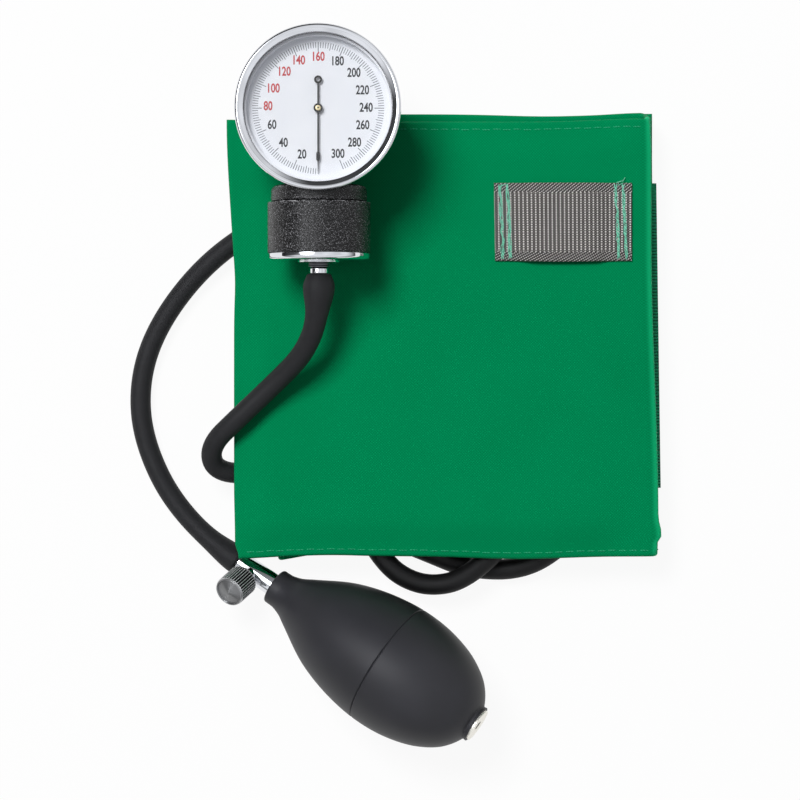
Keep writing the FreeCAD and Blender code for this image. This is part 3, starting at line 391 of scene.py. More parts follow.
# %% Key lamp
def frame_of(origin, along):
    """Axis as its origin and three unit vectors: along it, level across it, and the third square to both."""
    along = unit(np.asarray(along, float))
    hint = np.array([1.0, 0, 0]) if abs(along[2]) > 0.9 else np.array([0, 0, 1.0])
    across = unit(np.cross(hint, along))
    return np.asarray(origin, float), along, across, np.cross(along, across)


lamp_place = np.array([-0.852, 1.112, 2.523])
lamp_aim = np.array([-0.02, 0.0, 0.0])
lamp_data = bpy.data.lights.new("key_lamp", "AREA")
lamp_data.size = 0.96
lamp_data.energy = 68.8
key = bpy.data.objects.new("key_lamp", lamp_data)
away, across, third = frame_of(lamp_place, lamp_place - lamp_aim)[1:]
turn = mathutils.Matrix(np.stack([across, third, away], 1).tolist())
key.matrix_world = mathutils.Matrix.Translation(lamp_place.tolist()) @ turn.to_4x4()
key.visible_glossy = False
scene.collection.objects.link(key)
print("key lamp at", lamp_place.round(2))

# %% [markdown]
# ## Cuff
# The cuff is one long strip of coated nylon, sewn as a flat pocket for the rubber bladder and folded in
# three: the front panel, a wide fold on the right, the middle panel, a tight fold on the left and the tail.
# A plain box would miss its folds, and a cloth simulation would lose its thin hems. So the strip's centre
# line is laid in the XZ plane, and a flat pocket section is carried along it. Near every hem the two layers
# of cloth come together.

# %% Coated nylon
nylon = surface("coated_nylon", {"Roughness": 0.6, "Specular IOR Level": 0.04, "IOR": 1.5})
# Nylon cloth with a thin coat on it: strong even green, a fine slanting weave and very little gloss.
cloth = add(nylon, "UVMap", uv_map="millimetres").outputs[0]
thread_pitch = 0.95
# The real threads are about 0.3 mm apart; they are drawn at three times that so that the weave shows.
# A wave texture of scale 1 has 20 / (2 pi) waves in a unit, so this scale has one.
one_wave = 2 * math.pi / 20
threads = {"Vector": cloth, "Scale": one_wave / thread_pitch, "Distortion": 0.35}
warp = add(nylon, "TexWave", threads, bands_direction="X")
weft = add(nylon, "TexWave", threads, bands_direction="Y")
warp_side = add(nylon, "Math", {0: warp.outputs["Fac"], 1: 0.5}, operation="SUBTRACT")
weft_side = add(nylon, "Math", {0: weft.outputs["Fac"], 1: 0.5}, operation="SUBTRACT")
crossing = add(nylon, "Math", {0: warp_side.outputs[0], 1: weft_side.outputs[0]}, operation="MULTIPLY")
weave = add(nylon, "MapRange", {0: crossing.outputs[0], 1: -0.25, 2: 0.25, 3: 0.0, 4: 1.0})
cloud_size = 28.0
cloud = add(nylon, "TexNoise", {"Vector": cloth, "Scale": 1 / cloud_size, "Detail": 3.0})
dyed = add(nylon, "Mix", {0: cloud.outputs[0], 6: linear("007b4a"), 7: linear("008a56")}, data_type="RGBA")
raised = add(nylon, "Mix", {0: weave.outputs[0], 6: linear("006c38"), 7: linear("00a468")}, data_type="RGBA")
weave_share = 0.42
green = add(nylon, "Mix", {0: weave_share, 6: dyed.outputs[2], 7: raised.outputs[2]}, data_type="RGBA")
painted_fold_light = add(nylon, "Attribute", attribute_name="shade").outputs["Fac"]
# Painted highlight: the cloth is painted paler round the wide fold, as light on its edge.
painted_lit_fold = add(nylon, "Mix", {0: painted_fold_light, 6: green.outputs[2], 7: linear("16c07e")}, data_type="RGBA")
relief = add(nylon, "Bump", {"Strength": 0.3, "Distance": 0.1 * MM, "Height": weave.outputs[0]})
drive(nylon, Base_Color=painted_lit_fold.outputs[2], Normal=relief.outputs[0])

# %% The strip's five runs
front_left, front_fold = -70.7, 67.7
left_fold, tail_right = -53.9, 71.5
panel_top, middle_z, tail_z = 20.2, 4.9, 1.75
panel_half, fold_half, fold_reach = 3.0, 1.6, 2.9
fold_rise = (panel_top - fold_half - middle_z) / 2
fold_z = (panel_top - fold_half + middle_z) / 2
tail_radius = (middle_z - tail_z) / 2
end_steps = np.array([0, 0.1, 0.3, 0.6, 1.0, 1.6, 2.6, 4.0])
front_x = np.concatenate([front_left + end_steps, np.linspace(-65, front_fold, 64)])
right_turn = np.radians(np.linspace(90, -90, 42)[1:-1])
middle_x = np.linspace(front_fold, left_fold, 58)
left_turn = np.radians(np.linspace(90, 270, 14)[1:-1])
tail_x = np.concatenate([np.linspace(left_fold, 66, 58), tail_right - end_steps[::-1]])
runs = [front_x, right_turn, middle_x, left_turn, tail_x]


def along_strip(*parts):
    """One array over the five runs of the strip; a plain number fills its run."""
    filled = [np.broadcast_to(np.asarray(part, float), run.shape) for part, run in zip(parts, runs)]
    return np.concatenate(filled)


print("rows along the strip", len(along_strip(0, 0, 0, 0, 0)))

# %% The strip's centre line
def powered(values, power):
    """Signed power, for the squarish fold |x / a|^3 + |z / b|^3 = 1."""
    return np.sign(values) * np.abs(values) ** power


front_half = panel_half - (panel_half - fold_half) * ease((front_x - 52) / 13)
fold_out = powered(np.cos(right_turn), 4 / 3) / fold_reach
fold_up = powered(np.sin(right_turn), 4 / 3) / fold_rise
fold_size = np.hypot(fold_out, fold_up)
centre_x = along_strip(front_x, front_fold + fold_reach * powered(np.cos(right_turn), 2 / 3), middle_x,
                       left_fold + tail_radius * np.cos(left_turn), tail_x)
centre_z = along_strip(panel_top - front_half, fold_z + fold_rise * powered(np.sin(right_turn), 2 / 3),
                       middle_z, (middle_z + tail_z) / 2 + tail_radius * np.sin(left_turn), tail_z)
normal_x = along_strip(0, fold_out / fold_size, 0, -np.cos(left_turn), 0)
normal_z = along_strip(1, fold_up / fold_size, -1, -np.sin(left_turn), 1)
strip_run = run_along(np.c_[centre_x, centre_z])
strip_length = strip_run[-1]
print("strip length", round(strip_length, 1), "mm")

# %% What changes along the strip
turned_share = np.linspace(0, 1, len(right_turn))
half_thick = along_strip(front_half, fold_half - 0.7 * ease(turned_share), 0.9, 0.88, 0.85)
rear_share = along_strip(0, ease(turned_share), 1, 1, 1)
low_share = along_strip(0, ease(2 * turned_share - 1), 1, 1, 1)
# Where the wide fold is painted paler, as a painted highlight on its edge.
fold_light_share = along_strip(0, bell(turned_share, 0.24, 0.15, 4), 0, 0, 0)
ridge_high = along_strip(0, 0.55 * bell(turned_share, 0.17, 0.07), 0, 0, 0)
tail_share = along_strip(0, 0, 0, np.linspace(0, 1, len(left_turn)), 1)
# How strongly each place follows the straying left hem, and the straying right fold.
left_reach = 55
right_from, right_reach = 15, 49
left_pull = along_strip(np.clip(1 - (front_x - front_left) / left_reach, 0, 1) ** 2, 0, 0, 0, 0)
right_pull = along_strip(np.clip((front_x - right_from) / right_reach, 0, 1) ** 2, 1,
                         np.clip((middle_x - right_from) / right_reach, 0, 1) ** 2, 0, 0)
print("thickest", 2 * half_thick.max(), "mm, thinnest", 2 * half_thick.min(), "mm")

# %% How the cloth lies
def lie(x, y):
    """How the front panel lies: slow waves and a dent beside the drum, flat under the strap and hook."""
    waves = 0.28 * np.sin(x / 17 + y / 24 + 1.0) * np.sin(y / 21 - x / 33)
    dent = -0.8 * bell(x, -62, 8) * bell(y, 47, 9)
    strap = bell(x, 40, 30, 4) * bell(y, 38.7, 20, 4)
    hook = bell(x, -41.6, 13, 4) * bell(y, 27, 24, 4)
    return (waves - 0.2 + dent) * (1 - strap) * (1 - hook)


def tape_share(x, y):
    """1 over the hook tape, which lifts the tail, easing to 0 around it."""
    return ease((x - 16) / 8) * ease((y + 58) / 7) * ease((60 - y) / 7)


def hem_lines(x, rear, under):
    """Lowest and highest y along the strip: the front panel's hems ease over to those of the rear panels."""
    front_low = -74.0 - 0.8 * bell(x, -70, 12) + 0.35 * bell(x, -38, 12) - 0.95 * bell(x, 25, 22)
    rear_low = np.minimum(-67.5, -76.1 + 0.179 * (x + 56.5))
    front_high = 72.8 + 0.7 * bell(x, -72, 20) + 0.9 * ease((x - 30) / 38)
    rear_high = 76.3 - 0.7 * bell(x, 35, 20) + 0.5 * ease((x - 50) / 20)
    return (1 - under) * front_low + under * rear_low, (1 - rear) * front_high + rear * rear_high


def edge_lines(y):
    """How far the left hem and the right fold stray in x: slow curves, with a small bulge in each."""
    left = -0.2 - 2.5 * ease((y - 15) / 58) + 0.35 * bell(y, 19, 9) + 0.3 * ease((-y - 50) / 18)
    left = left + 1.2 * ease((-y - 69.5) / 4.5)
    right = 0.8 - 2.4 * ease((y + 62) / 95) + 1.2 * ease((-60.5 - y) / 6.3) * ease((y + 68.6) / 1.4)
    return left, right


print("dent beside the drum", lie(-62.0, 47.0).round(2), "mm")

# %% Cuff
hem_half = 1.05
hem_reach = 13


def cuff_surface(along, across, side):
    """Point of the cuff: strip centre + side * half thickness * normal, at a share of the width across."""
    columns = (centre_x, centre_z, normal_x, normal_z, half_thick, rear_share, low_share, tail_share,
               left_pull, right_pull, ridge_high)
    values = [np.interp(along, strip_run, column) for column in columns]
    x, z, out_x, out_z, half, rear, under, tail, left, right, ridge = values
    low, high = hem_lines(x, rear, under)
    y = low + (high - low) * across
    from_hem = np.minimum(across, 1 - across) * (high - low)
    from_end = np.minimum(along, strip_length - along)
    thick = hem_half + (half - hem_half) * ease(from_hem / hem_reach) * ease(from_end / hem_reach)
    thick = thick * quarter_round(from_hem, hem_half) * quarter_round(from_end, hem_half)
    thick = thick + ridge * np.maximum(side, 0) * ease(from_hem / 3)
    left_edge, right_edge = edge_lines(y)
    pulled = left * left_edge + right * right_edge
    lift = (1 - rear) * lie(x, y) - 0.82 * tail * (1 - tape_share(x, y))
    return np.stack([x + pulled + side * out_x * thick, y + 0 * x, z + lift + side * out_z * thick], -1)


cuff_width, plain_from = 146, 14
hem_steps = np.array([0, 0.08, 0.25, 0.5, 0.85, 1.4, 2.2, 3.2, 4.6, 6.5, 9.0, 11.5]) / cuff_width
plain_steps = np.linspace(plain_from / cuff_width, 1 - plain_from / cuff_width, 44)
upper_share = np.concatenate([hem_steps, plain_steps, 1 - hem_steps[::-1]])
loop_share = np.concatenate([upper_share, upper_share[-2:0:-1]])
loop_side = np.concatenate([np.ones(len(upper_share)), -np.ones(len(upper_share) - 2)])
along_grid, share_grid = np.meshgrid(strip_run, loop_share, indexing="ij")
cuff_points = cuff_surface(along_grid, share_grid, loop_side[None, :])
cuff_uv = np.stack([along_grid, cuff_points[..., 1]], -1)
# The cuff's shade attribute carries the painted highlight of the fold.
cuff_shade = fold_light_share[:, None] + 0 * share_grid
cuff = make_piece("cuff_cloth", cuff_points, grid_faces(*along_grid.shape), nylon, "green_nylon",
                  stands_for=["cuff_cover"], uv=cuff_uv, shade=cuff_shade, sharp=60)

# %% [markdown]
# ## Sewing thread
# Two hems run the whole length of the strip, each sewn with a slightly paler green thread. Stitches could be
# drawn in the cloth's material, but real ones stand up and cast small shadows. So a stitch is a short rod
# whose ends dip into the cloth, and hundreds of them are one mesh, made together as one array.

# %% Hem thread
twist_pitch = 0.5


def sewing_thread(name, values, dark, pale):
    """Twisted thread: a fine slanting stripe of two tones, about one twist pitch apart."""
    thread = surface(name, values)
    place = add(thread, "TexCoord").outputs["Object"]
    stripe = {"Vector": place, "Scale": one_wave / (twist_pitch * MM)}
    twist = add(thread, "TexWave", stripe, bands_direction="DIAGONAL")
    strand = add(thread, "Mix", {0: twist.outputs["Fac"], 6: linear(dark), 7: linear(pale)}, data_type="RGBA")
    drive(thread, Base_Color=strand.outputs[2])
    return thread


# Polyester thread, paler than the cloth, with a dull look.
hem_thread = sewing_thread("polyester_hem_thread", {"Roughness": 0.85, "Specular IOR Level": 0.1},
                           "14915f", "3bb588")

# %% Hem stitches
def stitch_mesh(start, end, normal, radius, dip, sides=6):
    """Rods from start to end, all at once: their middle rides 0.6 of a radius up, their ends sink by dip."""
    share = np.array([0, 0.12, 0.5, 0.88, 1.0])
    width = np.array([0.35, 0.8, 1.0, 0.8, 0.35]) * radius
    drop = radius * 0.6 - dip * (2 * share - 1) ** 4
    across = unit(np.cross(normal, unit(end - start)))
    centre = start[:, None] + (end - start)[:, None] * share[None, :, None]
    centre = centre + normal[:, None] * drop[None, :, None]
    ring = circles(across, normal, full_turn(sides))
    points = centre[:, :, None] + width[None, :, None, None] * ring[:, None]
    per = len(share) * sides
    first = (np.arange(len(start)) * per)[:, None]
    walls = (first[:, None] + grid_faces(len(share), sides)[None]).reshape(-1, 4).tolist()
    caps = (first + np.arange(sides)).tolist() + (first + per - 1 - np.arange(sides)).tolist()
    return points.reshape(-1, 3), walls + caps


stitch_length, stitch_pitch = 2.9, 3.5
low_hem, high_hem, hem_width = 2.1, 143.7, 146.4
starts = np.arange(3.0, strip_length - 4, stitch_pitch)
wander = np.random.default_rng(4).uniform(-0.12, 0.12, (2, len(starts)))
hem_share = np.stack([low_hem + wander[0], high_hem + wander[1]]) / hem_width
stitch_start = cuff_surface(starts[None], hem_share, 1.0).reshape(-1, 3)
stitch_end = cuff_surface(starts[None] + stitch_length, hem_share, 1.0).reshape(-1, 3)
up_x, up_z = [np.interp(starts, strip_run, column) for column in (normal_x, normal_z)]
stitch_up = np.tile(np.stack([up_x, 0 * starts, up_z], -1), (2, 1))
points, faces = stitch_mesh(stitch_start, stitch_end, stitch_up, radius=0.2, dip=0.25)
make_piece("hem_stitches", points, faces, hem_thread, "green_nylon")

# %% [markdown]
# ## Bladder and tapes
# The bladder is a flat rubber bag inside the front panel. Nothing of it shows, but it stands for the packed
# solid, so it is a thin crowned pillow that keeps inside the cloth. The hook tape under the tail shows as a
# narrow ribbed strip on the right, and the loop tape lies under the middle panel. Both tapes are slabs whose
# ribs and hooks are terms in their height, so they catch the light as real ribs do.

# %% Bladder
def mottled(name, values, patch_size, detail, first, second):
    """Material whose colour drifts between two tones, in patches of a real size in mm."""
    material = surface(name, values)
    place = add(material, "TexCoord").outputs["Object"]
    patch = add(material, "TexNoise", {"Vector": place, "Scale": 1 / (patch_size * MM), "Detail": detail})
    tone = add(material, "Mix", {0: patch.outputs[0], 6: linear(first), 7: linear(second)}, data_type="RGBA")
    drive(material, Base_Color=tone.outputs[2])
    return material


# Grey-brown sheet rubber dusted with talc: dull, with pale mottling.
bladder_rubber = mottled("moulded_bladder_rubber", {"Roughness": 0.6, "Specular IOR Level": 0.3},
                         patch_size=4.0, detail=5.0, first="4d4741", second="7d766c")


def closed_sheet(x_range, y_range, columns, rows):
    """Grid of a sheet seen from both sides: x, y and the side, 1 on top and 0 underneath."""
    y = np.linspace(*y_range, rows)
    xs, ys = np.meshgrid(np.linspace(*x_range, columns), np.concatenate([y, y[::-1]]), indexing="ij")
    side = np.repeat([1.0, 0.0], rows)[None, :] * np.ones((columns, 1))
    return xs, ys, side


def pillow(x_range, y_range, middle, half, edge_half, reach):
    """Closed pillow: z = middle +- (edge + (half - edge) swell), where swell eases up over reach."""
    xs, ys, side = closed_sheet(x_range, y_range, 48, 48)
    from_x = np.minimum(xs - x_range[0], x_range[1] - xs)
    from_y = np.minimum(ys - y_range[0], y_range[1] - ys)
    thick = edge_half + (half - edge_half) * ease(from_x / reach) * ease(from_y / reach)
    thick = np.where(from_x <= 0, 0.0, thick)
    return np.stack([xs, ys, middle + (2 * side - 1) * thick], -1)


bladder_points = pillow((-66, 56.5), (-69, 67.5), middle=panel_top - panel_half, half=1.6, edge_half=0.3,
                        reach=16)
bladder_points[..., 2] += lie(bladder_points[..., 0], bladder_points[..., 1])
bladder = make_piece("bladder_bag", bladder_points, grid_faces(*bladder_points.shape[:2]), bladder_rubber,
                     "bladder_rubber", stands_for=["cuff_bladder"])

# %% Tape nylon
tape_nylon = surface("woven_hook_tape", {"Roughness": 0.7, "Specular IOR Level": 0.15})
# Nylon tape woven with stiff hooks. Its tufts are painted paler than the cloth as painted light, because it
# lies in the fold's shadow, and the gaps between its ribs nearly black as painted shade.
rib_shade = add(tape_nylon, "Attribute", attribute_name="shade").outputs["Fac"]
place = add(tape_nylon, "TexCoord").outputs["Object"]
fibre_size = 0.8
fibre = add(tape_nylon, "TexNoise", {"Vector": place, "Scale": 1 / (fibre_size * MM), "Detail": 3.0})
lit_tuft_tones = {0: fibre.outputs[0], 6: linear("31bd89"), 7: linear("45d09e")}
lit_tuft = add(tape_nylon, "Mix", lit_tuft_tones, data_type="RGBA")
ribbed_painted_shade = add(tape_nylon, "Mix", {0: rib_shade, 6: linear("083526"), 7: lit_tuft.outputs[2]}, data_type="RGBA")
drive(tape_nylon, Base_Color=ribbed_painted_shade.outputs[2])

# %% Hook tape and loop tape
def grain(across, along, columns, rows, seed):
    """Smooth random field from -1 to 1: a seeded lattice, eased between its points. It wraps in across."""
    table = np.random.default_rng(seed).uniform(-1, 1, (rows + 2, columns))
    x = np.mod(across, 1) * columns
    y = np.clip(along, 0, 1) * rows
    left = np.floor(x).astype(int) % columns
    low = np.floor(y).astype(int)
    to_right = ease(x - np.floor(x))
    to_upper = ease(y - low)
    right = (left + 1) % columns
    lower = table[low, left] * (1 - to_right) + table[low, right] * to_right
    upper = table[low + 1, left] * (1 - to_right) + table[low + 1, right] * to_right
    return lower * (1 - to_upper) + upper * to_upper


def ripple(values, pitch):
    """Wave from 0 to 1 that is highest at 0: (1 + cos(2 pi v / pitch)) / 2."""
    return 0.5 + 0.5 * np.cos(2 * np.pi * values / pitch)


tape_rib, rib_depth = 1.08, 0.2
hook_column, hook_row = 1.7, 1.5


def tape_sheet(node, x_range, low, high, skew, hooks, seed, y_range=(-51.3, 53.0)):
    """Tape as a closed slab: ribs across its edge on top, and a field of small hooks or loops underneath."""
    xs, ys, top = closed_sheet(x_range, y_range, 56, 500)
    along = (ys - y_range[0]) / (y_range[1] - y_range[0])
    width = (xs - x_range[0]) / (x_range[1] - x_range[0])
    plain_end = 0.75 * ease((along - 0.93) / 0.03)
    rib = ease(ripple(ys, tape_rib) * 1.7) * (1 - plain_end) + plain_end
    row = np.sin(np.pi * xs / hook_column) * np.sin(np.pi * ys / hook_row)
    hook = np.maximum(0, row + 0.2 * grain(width, along, 60, 120, seed))
    z = np.where(top > 0, high - rib_depth * (1 - rib), low + hooks * (1 - np.clip(hook * 1.6, 0, 1)))
    z = np.where((xs <= x_range[0]) | (xs >= x_range[1]), (low + high) / 2, z)
    # Painted shade: darker in the gaps between ribs and between the hooks.
    shade = np.where(top > 0, 0.15 + 0.85 * rib, 0.35 + 0.65 * hook)
    xs = xs + skew * width * (0.5 - along) * 2
    make_piece(node + "_strip", np.stack([xs, ys, z], -1), grid_faces(*xs.shape), tape_nylon, "tape",
               stands_for=[node], shade=shade)


tape_sheet("hook_tape", (24.4, 73.75), low=0.02, high=0.95, skew=0.75, hooks=0.35, seed=5)
tape_sheet("loop_tape", (-40.0, 10.0), low=3.25, high=3.98, skew=0.0, hooks=0.25, seed=6)

# %% [markdown]
# ## Webbing strap
# A short strap of ribbed webbing is sewn to the front panel by its two ends, and the gauge's hook slips under
# it. Its ribs run across the strap as columns of pale dots, and both selvages are woven in slanting lines.
# The grid is fine enough to hold each yarn, so height and tone are both worked out as arrays: the tone, which
# paints highlights on the yarn tops and shade in the gaps, goes into an attribute that the material reads.

# %% Webbing yarn
webbing_yarn = surface("polyamide_webbing",
                       {"Roughness": 0.55, "Specular IOR Level": 0.3, "Sheen Weight": 0.15})
# Thick smooth yarns, warm grey: the tops where a yarn comes up are painted pale as painted highlights, and the
# gaps between ribs dark as painted shade.
tone = add(webbing_yarn, "Attribute", attribute_name="shade").outputs["Fac"]
yarn_light_and_shade = add(webbing_yarn, "ValToRGB", {"Fac": tone})
ramp = yarn_light_and_shade.color_ramp
ramp.elements[0].color = linear("141414")
ramp.elements[1].color = linear("f7f5f2")
ramp.elements.new(0.35).color = linear("4d4a48")
ramp.elements.new(0.65).color = linear("b3b0ad")
drive(webbing_yarn, Base_Color=yarn_light_and_shade.outputs["Color"])

# %% Yarn pattern
strap_left, strap_low = 16.8, 25.6
strap_length, strap_width, strap_thick = 46.5, 26.3, 1.3
rib_pitch, dot_pitch = 1.39, 0.82
selvage, selvage_blend = 3.4, 0.3
foot, bow_high = 7, 1.6


def strap_bow(x):
    """Rise of the strap over the cuff: flat feet, then an eased ramp as long as a foot to the full rise."""
    strap_right = strap_left + strap_length
    return bow_high * ease((x - strap_left - foot) / foot) * ease((strap_right - foot - x) / foot)


def yarn_tone(x, y):
    """Tone from 0 to 1, for the yarns' height and their painted light and shade: dotted rib columns in the
    body, slanting rows of dots in both selvages.
    """
    rib = ripple(x, rib_pitch)
    dot = ripple(y, dot_pitch)
    body = 0.08 + 1.1 * rib ** 1.7 * (0.2 + 0.8 * dot) + 0.5 * (1 - rib) ** 3 * (1 - dot)
    upper = 0.1 + 1.0 * ripple(y - 0.8 * x, 1.05) ** 2 * (0.25 + 0.75 * ripple(x + 0.3 * y, 0.72))
    lower = 0.1 + 0.95 * ripple(y - 0.55 * x, 0.9) ** 2 * (0.2 + 0.8 * ripple(x + 0.5 * y, 0.8))
    in_upper = ease((y - (strap_width - selvage)) / selvage_blend)
    in_lower = ease((selvage - y) / selvage_blend)
    return body * (1 - in_upper) * (1 - in_lower) + upper * in_upper + lower * in_lower


print("tone of a raised yarn", yarn_tone(0.0, 10 * dot_pitch).round(2))

# %% Strap
strap_x = np.linspace(0, strap_length, 300)
strap_y = np.linspace(0, strap_width, 170)
under_y = np.linspace(strap_width, 0, 24)
loop_top = np.concatenate([np.ones(len(strap_y)), np.zeros(len(under_y))])
xs, ys = np.meshgrid(strap_x, np.concatenate([strap_y, under_y]), indexing="ij")
tops = np.broadcast_to(loop_top, xs.shape)
strap_tone = yarn_tone(xs, ys)
edge_round = quarter_round(np.minimum(ys, strap_width - ys), 0.6)
strap_gap, edge_rise, yarn_rise = 0.06, 0.5, 0.28
upper_side = edge_rise + (strap_thick - 0.8 + yarn_rise * strap_tone) * edge_round
lower_side = edge_rise - edge_rise * edge_round
strap_z = panel_top + strap_bow(xs + strap_left) + strap_gap + np.where(tops > 0, upper_side, lower_side)
strap_z = np.where((xs <= 0) | (xs >= strap_length), panel_top + edge_rise, strap_z)
sway = 0.35 * np.sin(np.pi * xs / strap_length) ** 2 * (1 - ys / strap_width)
lean = 0.4 * (1 - xs / strap_length) * (1 - ys / strap_width)
strap_points = np.stack([xs + strap_left + lean, ys + strap_low - sway, strap_z], -1)
fray = np.random.default_rng(7).uniform(-0.12, 0.12, strap_tone.shape)
# The underside is painted at half tone, as painted shade under the strap.
strap_shade = np.clip(strap_tone + 0.5 * fray, 0, 1) * np.where(tops > 0, 1.0, 0.5)
make_piece("webbing_strap", strap_points, grid_faces(*xs.shape), webbing_yarn, "webbing",
           stands_for=["gauge_loop"], shade=strap_shade, sharp=80)

# %% Strap stitches
# Pale mint thread, sewn back and forth until it lies thick, with a soft sheen along each strand.
mint_thread = sewing_thread("polyester_bar_thread", {"Roughness": 0.55, "Sheen Weight": 0.25},
                            "55b796", "8fdcc2")
stitches_per_pass = 11


def bar_row(x_top, x_bottom, passes, seed):
    """Ends of the stitches of one row: several passes from top to bottom, each stitch wandering a little."""
    random = np.random.default_rng(seed)
    share = np.linspace(0, 1, stitches_per_pass + 1)
    x = x_top + (x_bottom - x_top) * share + random.uniform(-0.7, 0.7, (passes, len(share)))
    y = strap_width * (0.975 - 0.95 * share) + random.uniform(-0.5, 0.5, (passes, 1))
    y = np.clip(y, 0.5, strap_width + 0.4)
    z = panel_top + strap_thick + 0.02 + strap_bow(x + strap_left) + 0.05 * random.uniform(0, 1, x.shape)
    at = np.stack([x + strap_left, y + strap_low, z], -1)
    return at[:, :-1].reshape(-1, 3), at[:, 1:].reshape(-1, 3)


row_plans = [(2.0, 3.2, 5, 21), (4.5, 5.5, 6, 22), (41.0, 42.0, 5, 23), (43.6, 44.5, 5, 24)]
bar_rows = [bar_row(*plan) for plan in row_plans]
# Loose ends tie the rows together at the strap's upper corners.
tie_at = np.array([strap_left, strap_low, panel_top + strap_thick])
tie_start = np.array([(41.0, 26.2, 0.2), (43.6, 26.2, 0.25), (43.2, 26.6, 0.1), (1.8, 25.0, 0.2)]) + tie_at
tie_end = np.array([(43.3, 27.0, 0.3), (41.8, 25.5, 0.25), (44.2, 28.1, -0.6), (4.2, 25.8, 0.2)]) + tie_at
row_start = np.concatenate([row[0] for row in bar_rows] + [tie_start])
row_end = np.concatenate([row[1] for row in bar_rows] + [tie_end])
row_up = np.tile([0, 0, 1.0], (len(row_start), 1))
points, faces = stitch_mesh(row_start, row_end, row_up, radius=0.15, dip=0.26)
make_piece("strap_stitches", points, faces, mint_thread, "webbing")

# %% [markdown]
# ## Gauge metals
# The bezel, base plate, nipple and valve are chromed brass, polished bright; the drum is painted with black
# crinkle enamel, whose skin dries into fine grains, and their glints are painted as grey specks in its colour.
# Chrome needs no colour of its own, only smears in its gloss. The enamel reads its grain from the same array
# that shapes its skin.

# %% Chrome
def dulled(name, values, patch_size, detail, smooth, rough, span=(0.3, 0.7), stretch=(1.0, 1.0, 1.0)):
    """Material whose roughness drifts between two values, in patches sized in mm and drawn out by stretch."""
    material = surface(name, values)
    place = add(material, "TexCoord").outputs["Object"]
    drawn = add(material, "Mapping", {"Vector": place, "Scale": stretch}).outputs[0]
    patch = add(material, "TexNoise", {"Vector": drawn, "Scale": 1 / (patch_size * MM), "Detail": detail})
    gloss = add(material, "MapRange", {0: patch.outputs[0], 1: span[0], 2: span[1], 3: smooth, 4: rough})
    drive(material, Roughness=gloss.outputs[0])
    return material


# Bright plate, faintly blue, mirror smooth with a few dull smears from handling.
chrome = dulled("polished_chrome", {"Base Color": linear("e4e5e9"), "Metallic": 1.0, "Roughness": 0.07},
                patch_size=9.0, detail=5.0, smooth=0.05, rough=0.13, span=(0.35, 0.75))

# %% Crinkle enamel
enamel = surface("crinkle_enamel", {"Roughness": 0.2, "Specular IOR Level": 0.3, "IOR": 1.52})
# Black stoving enamel with a grain of about a third of a millimetre. The glints on its grain tops are
# painted as grey specks in its colour, a painted highlight, and its hollows stay dark.
grain_height = add(enamel, "Attribute", attribute_name="shade").outputs["Fac"]
place = add(enamel, "TexCoord").outputs["Object"]
grit_size = 0.3
grit = add(enamel, "TexNoise", {"Vector": place, "Scale": 1 / (grit_size * MM), "Detail": 1.0})
specks = add(enamel, "MapRange", {0: grit.outputs[0], 1: 0.57, 2: 0.67, 3: 0.0, 4: 1.0})
tops = add(enamel, "MapRange", {0: grain_height, 1: 0.3, 2: 0.7, 3: 0.25, 4: 1.0})
# Painted highlights: grey specks, more of them on the grain tops.
painted_glints = add(enamel, "Math", {0: specks.outputs[0], 1: tops.outputs[0]}, operation="MULTIPLY")
glint_tones = {0: painted_glints.outputs[0], 6: linear("0a0a0b"), 7: linear("9a9a9e")}
black = add(enamel, "Mix", glint_tones, data_type="RGBA")
wear_and_painted_light = add(enamel, "MapRange", {0: grain_height, 1: 1.05, 2: 1.7, 3: 0.0, 4: 1.0})
# Painted highlight: a broken bright line is painted along the rims, as light on their rounded edges.
black = add(enamel, "Mix", {0: wear_and_painted_light.outputs[0], 6: black.outputs[2], 7: linear("b4b4b8")}, data_type="RGBA")
relief = add(enamel, "Bump", {"Strength": 1.0, "Distance": 0.15 * MM, "Height": grit.outputs[0]})
drive(enamel, Base_Color=black.outputs[2], Normal=relief.outputs[0])

# %% [markdown]
# ## Drum, bezel and base plate
# These are all turned or pressed round, so each is a profile of (along, radius) rows carried round an axis,
# as a lathe would cut it. A cylinder with bevels could stand for each, but a profile holds the rolled edges
# and lips that chrome shows so plainly. The drum's skin is pushed out by a random grain.

# %% Turned pieces
def rounded(corners, reach, steps=5):
    """Profile with its inner corners eased: each is a quadratic curve from reach before it to reach after."""
    corners = np.asarray(corners, float)
    middle = corners[1:-1]
    before = corners[:-2] - middle
    after = corners[2:] - middle
    size_before = np.linalg.norm(before, axis=1, keepdims=True)
    size_after = np.linalg.norm(after, axis=1, keepdims=True)
    held = np.minimum(reach, 0.45 * np.minimum(size_before, size_after))
    start = (middle + before / size_before * held)[:, None]
    end = (middle + after / size_after * held)[:, None]
    share = np.linspace(0, 1, steps)[None, :, None]
    curve = (1 - share) ** 2 * start + 2 * share * (1 - share) * middle[:, None] + share ** 2 * end
    return np.concatenate([corners[:1], curve.reshape(-1, 2), corners[-1:]])


def lathe_points(axis, profile, turns):
    """Profile rows (along, radius) carried round: origin + along e + radius (cos a u + sin a v)."""
    origin, along, across, third = axis
    profile = np.asarray(profile, float)
    return origin + profile[:, None, :1] * along + profile[:, None, 1:2] * circles(across, third, turns)


def outward_of(axis, profile, points):
    """Unit vectors that point straight away from the axis at each point of a turned grid."""
    return unit(points - (axis[0] + profile[:, None, :1] * axis[1]))


def turned(name, axis, profile, material, slot, sides=128, **more):
    """Turned piece whose profile starts and ends on the axis, or comes back to its first row as a ring."""
    points = lathe_points(axis, profile, full_turn(sides))
    make_piece(name, points, grid_faces(len(points), sides), material, slot, **more)


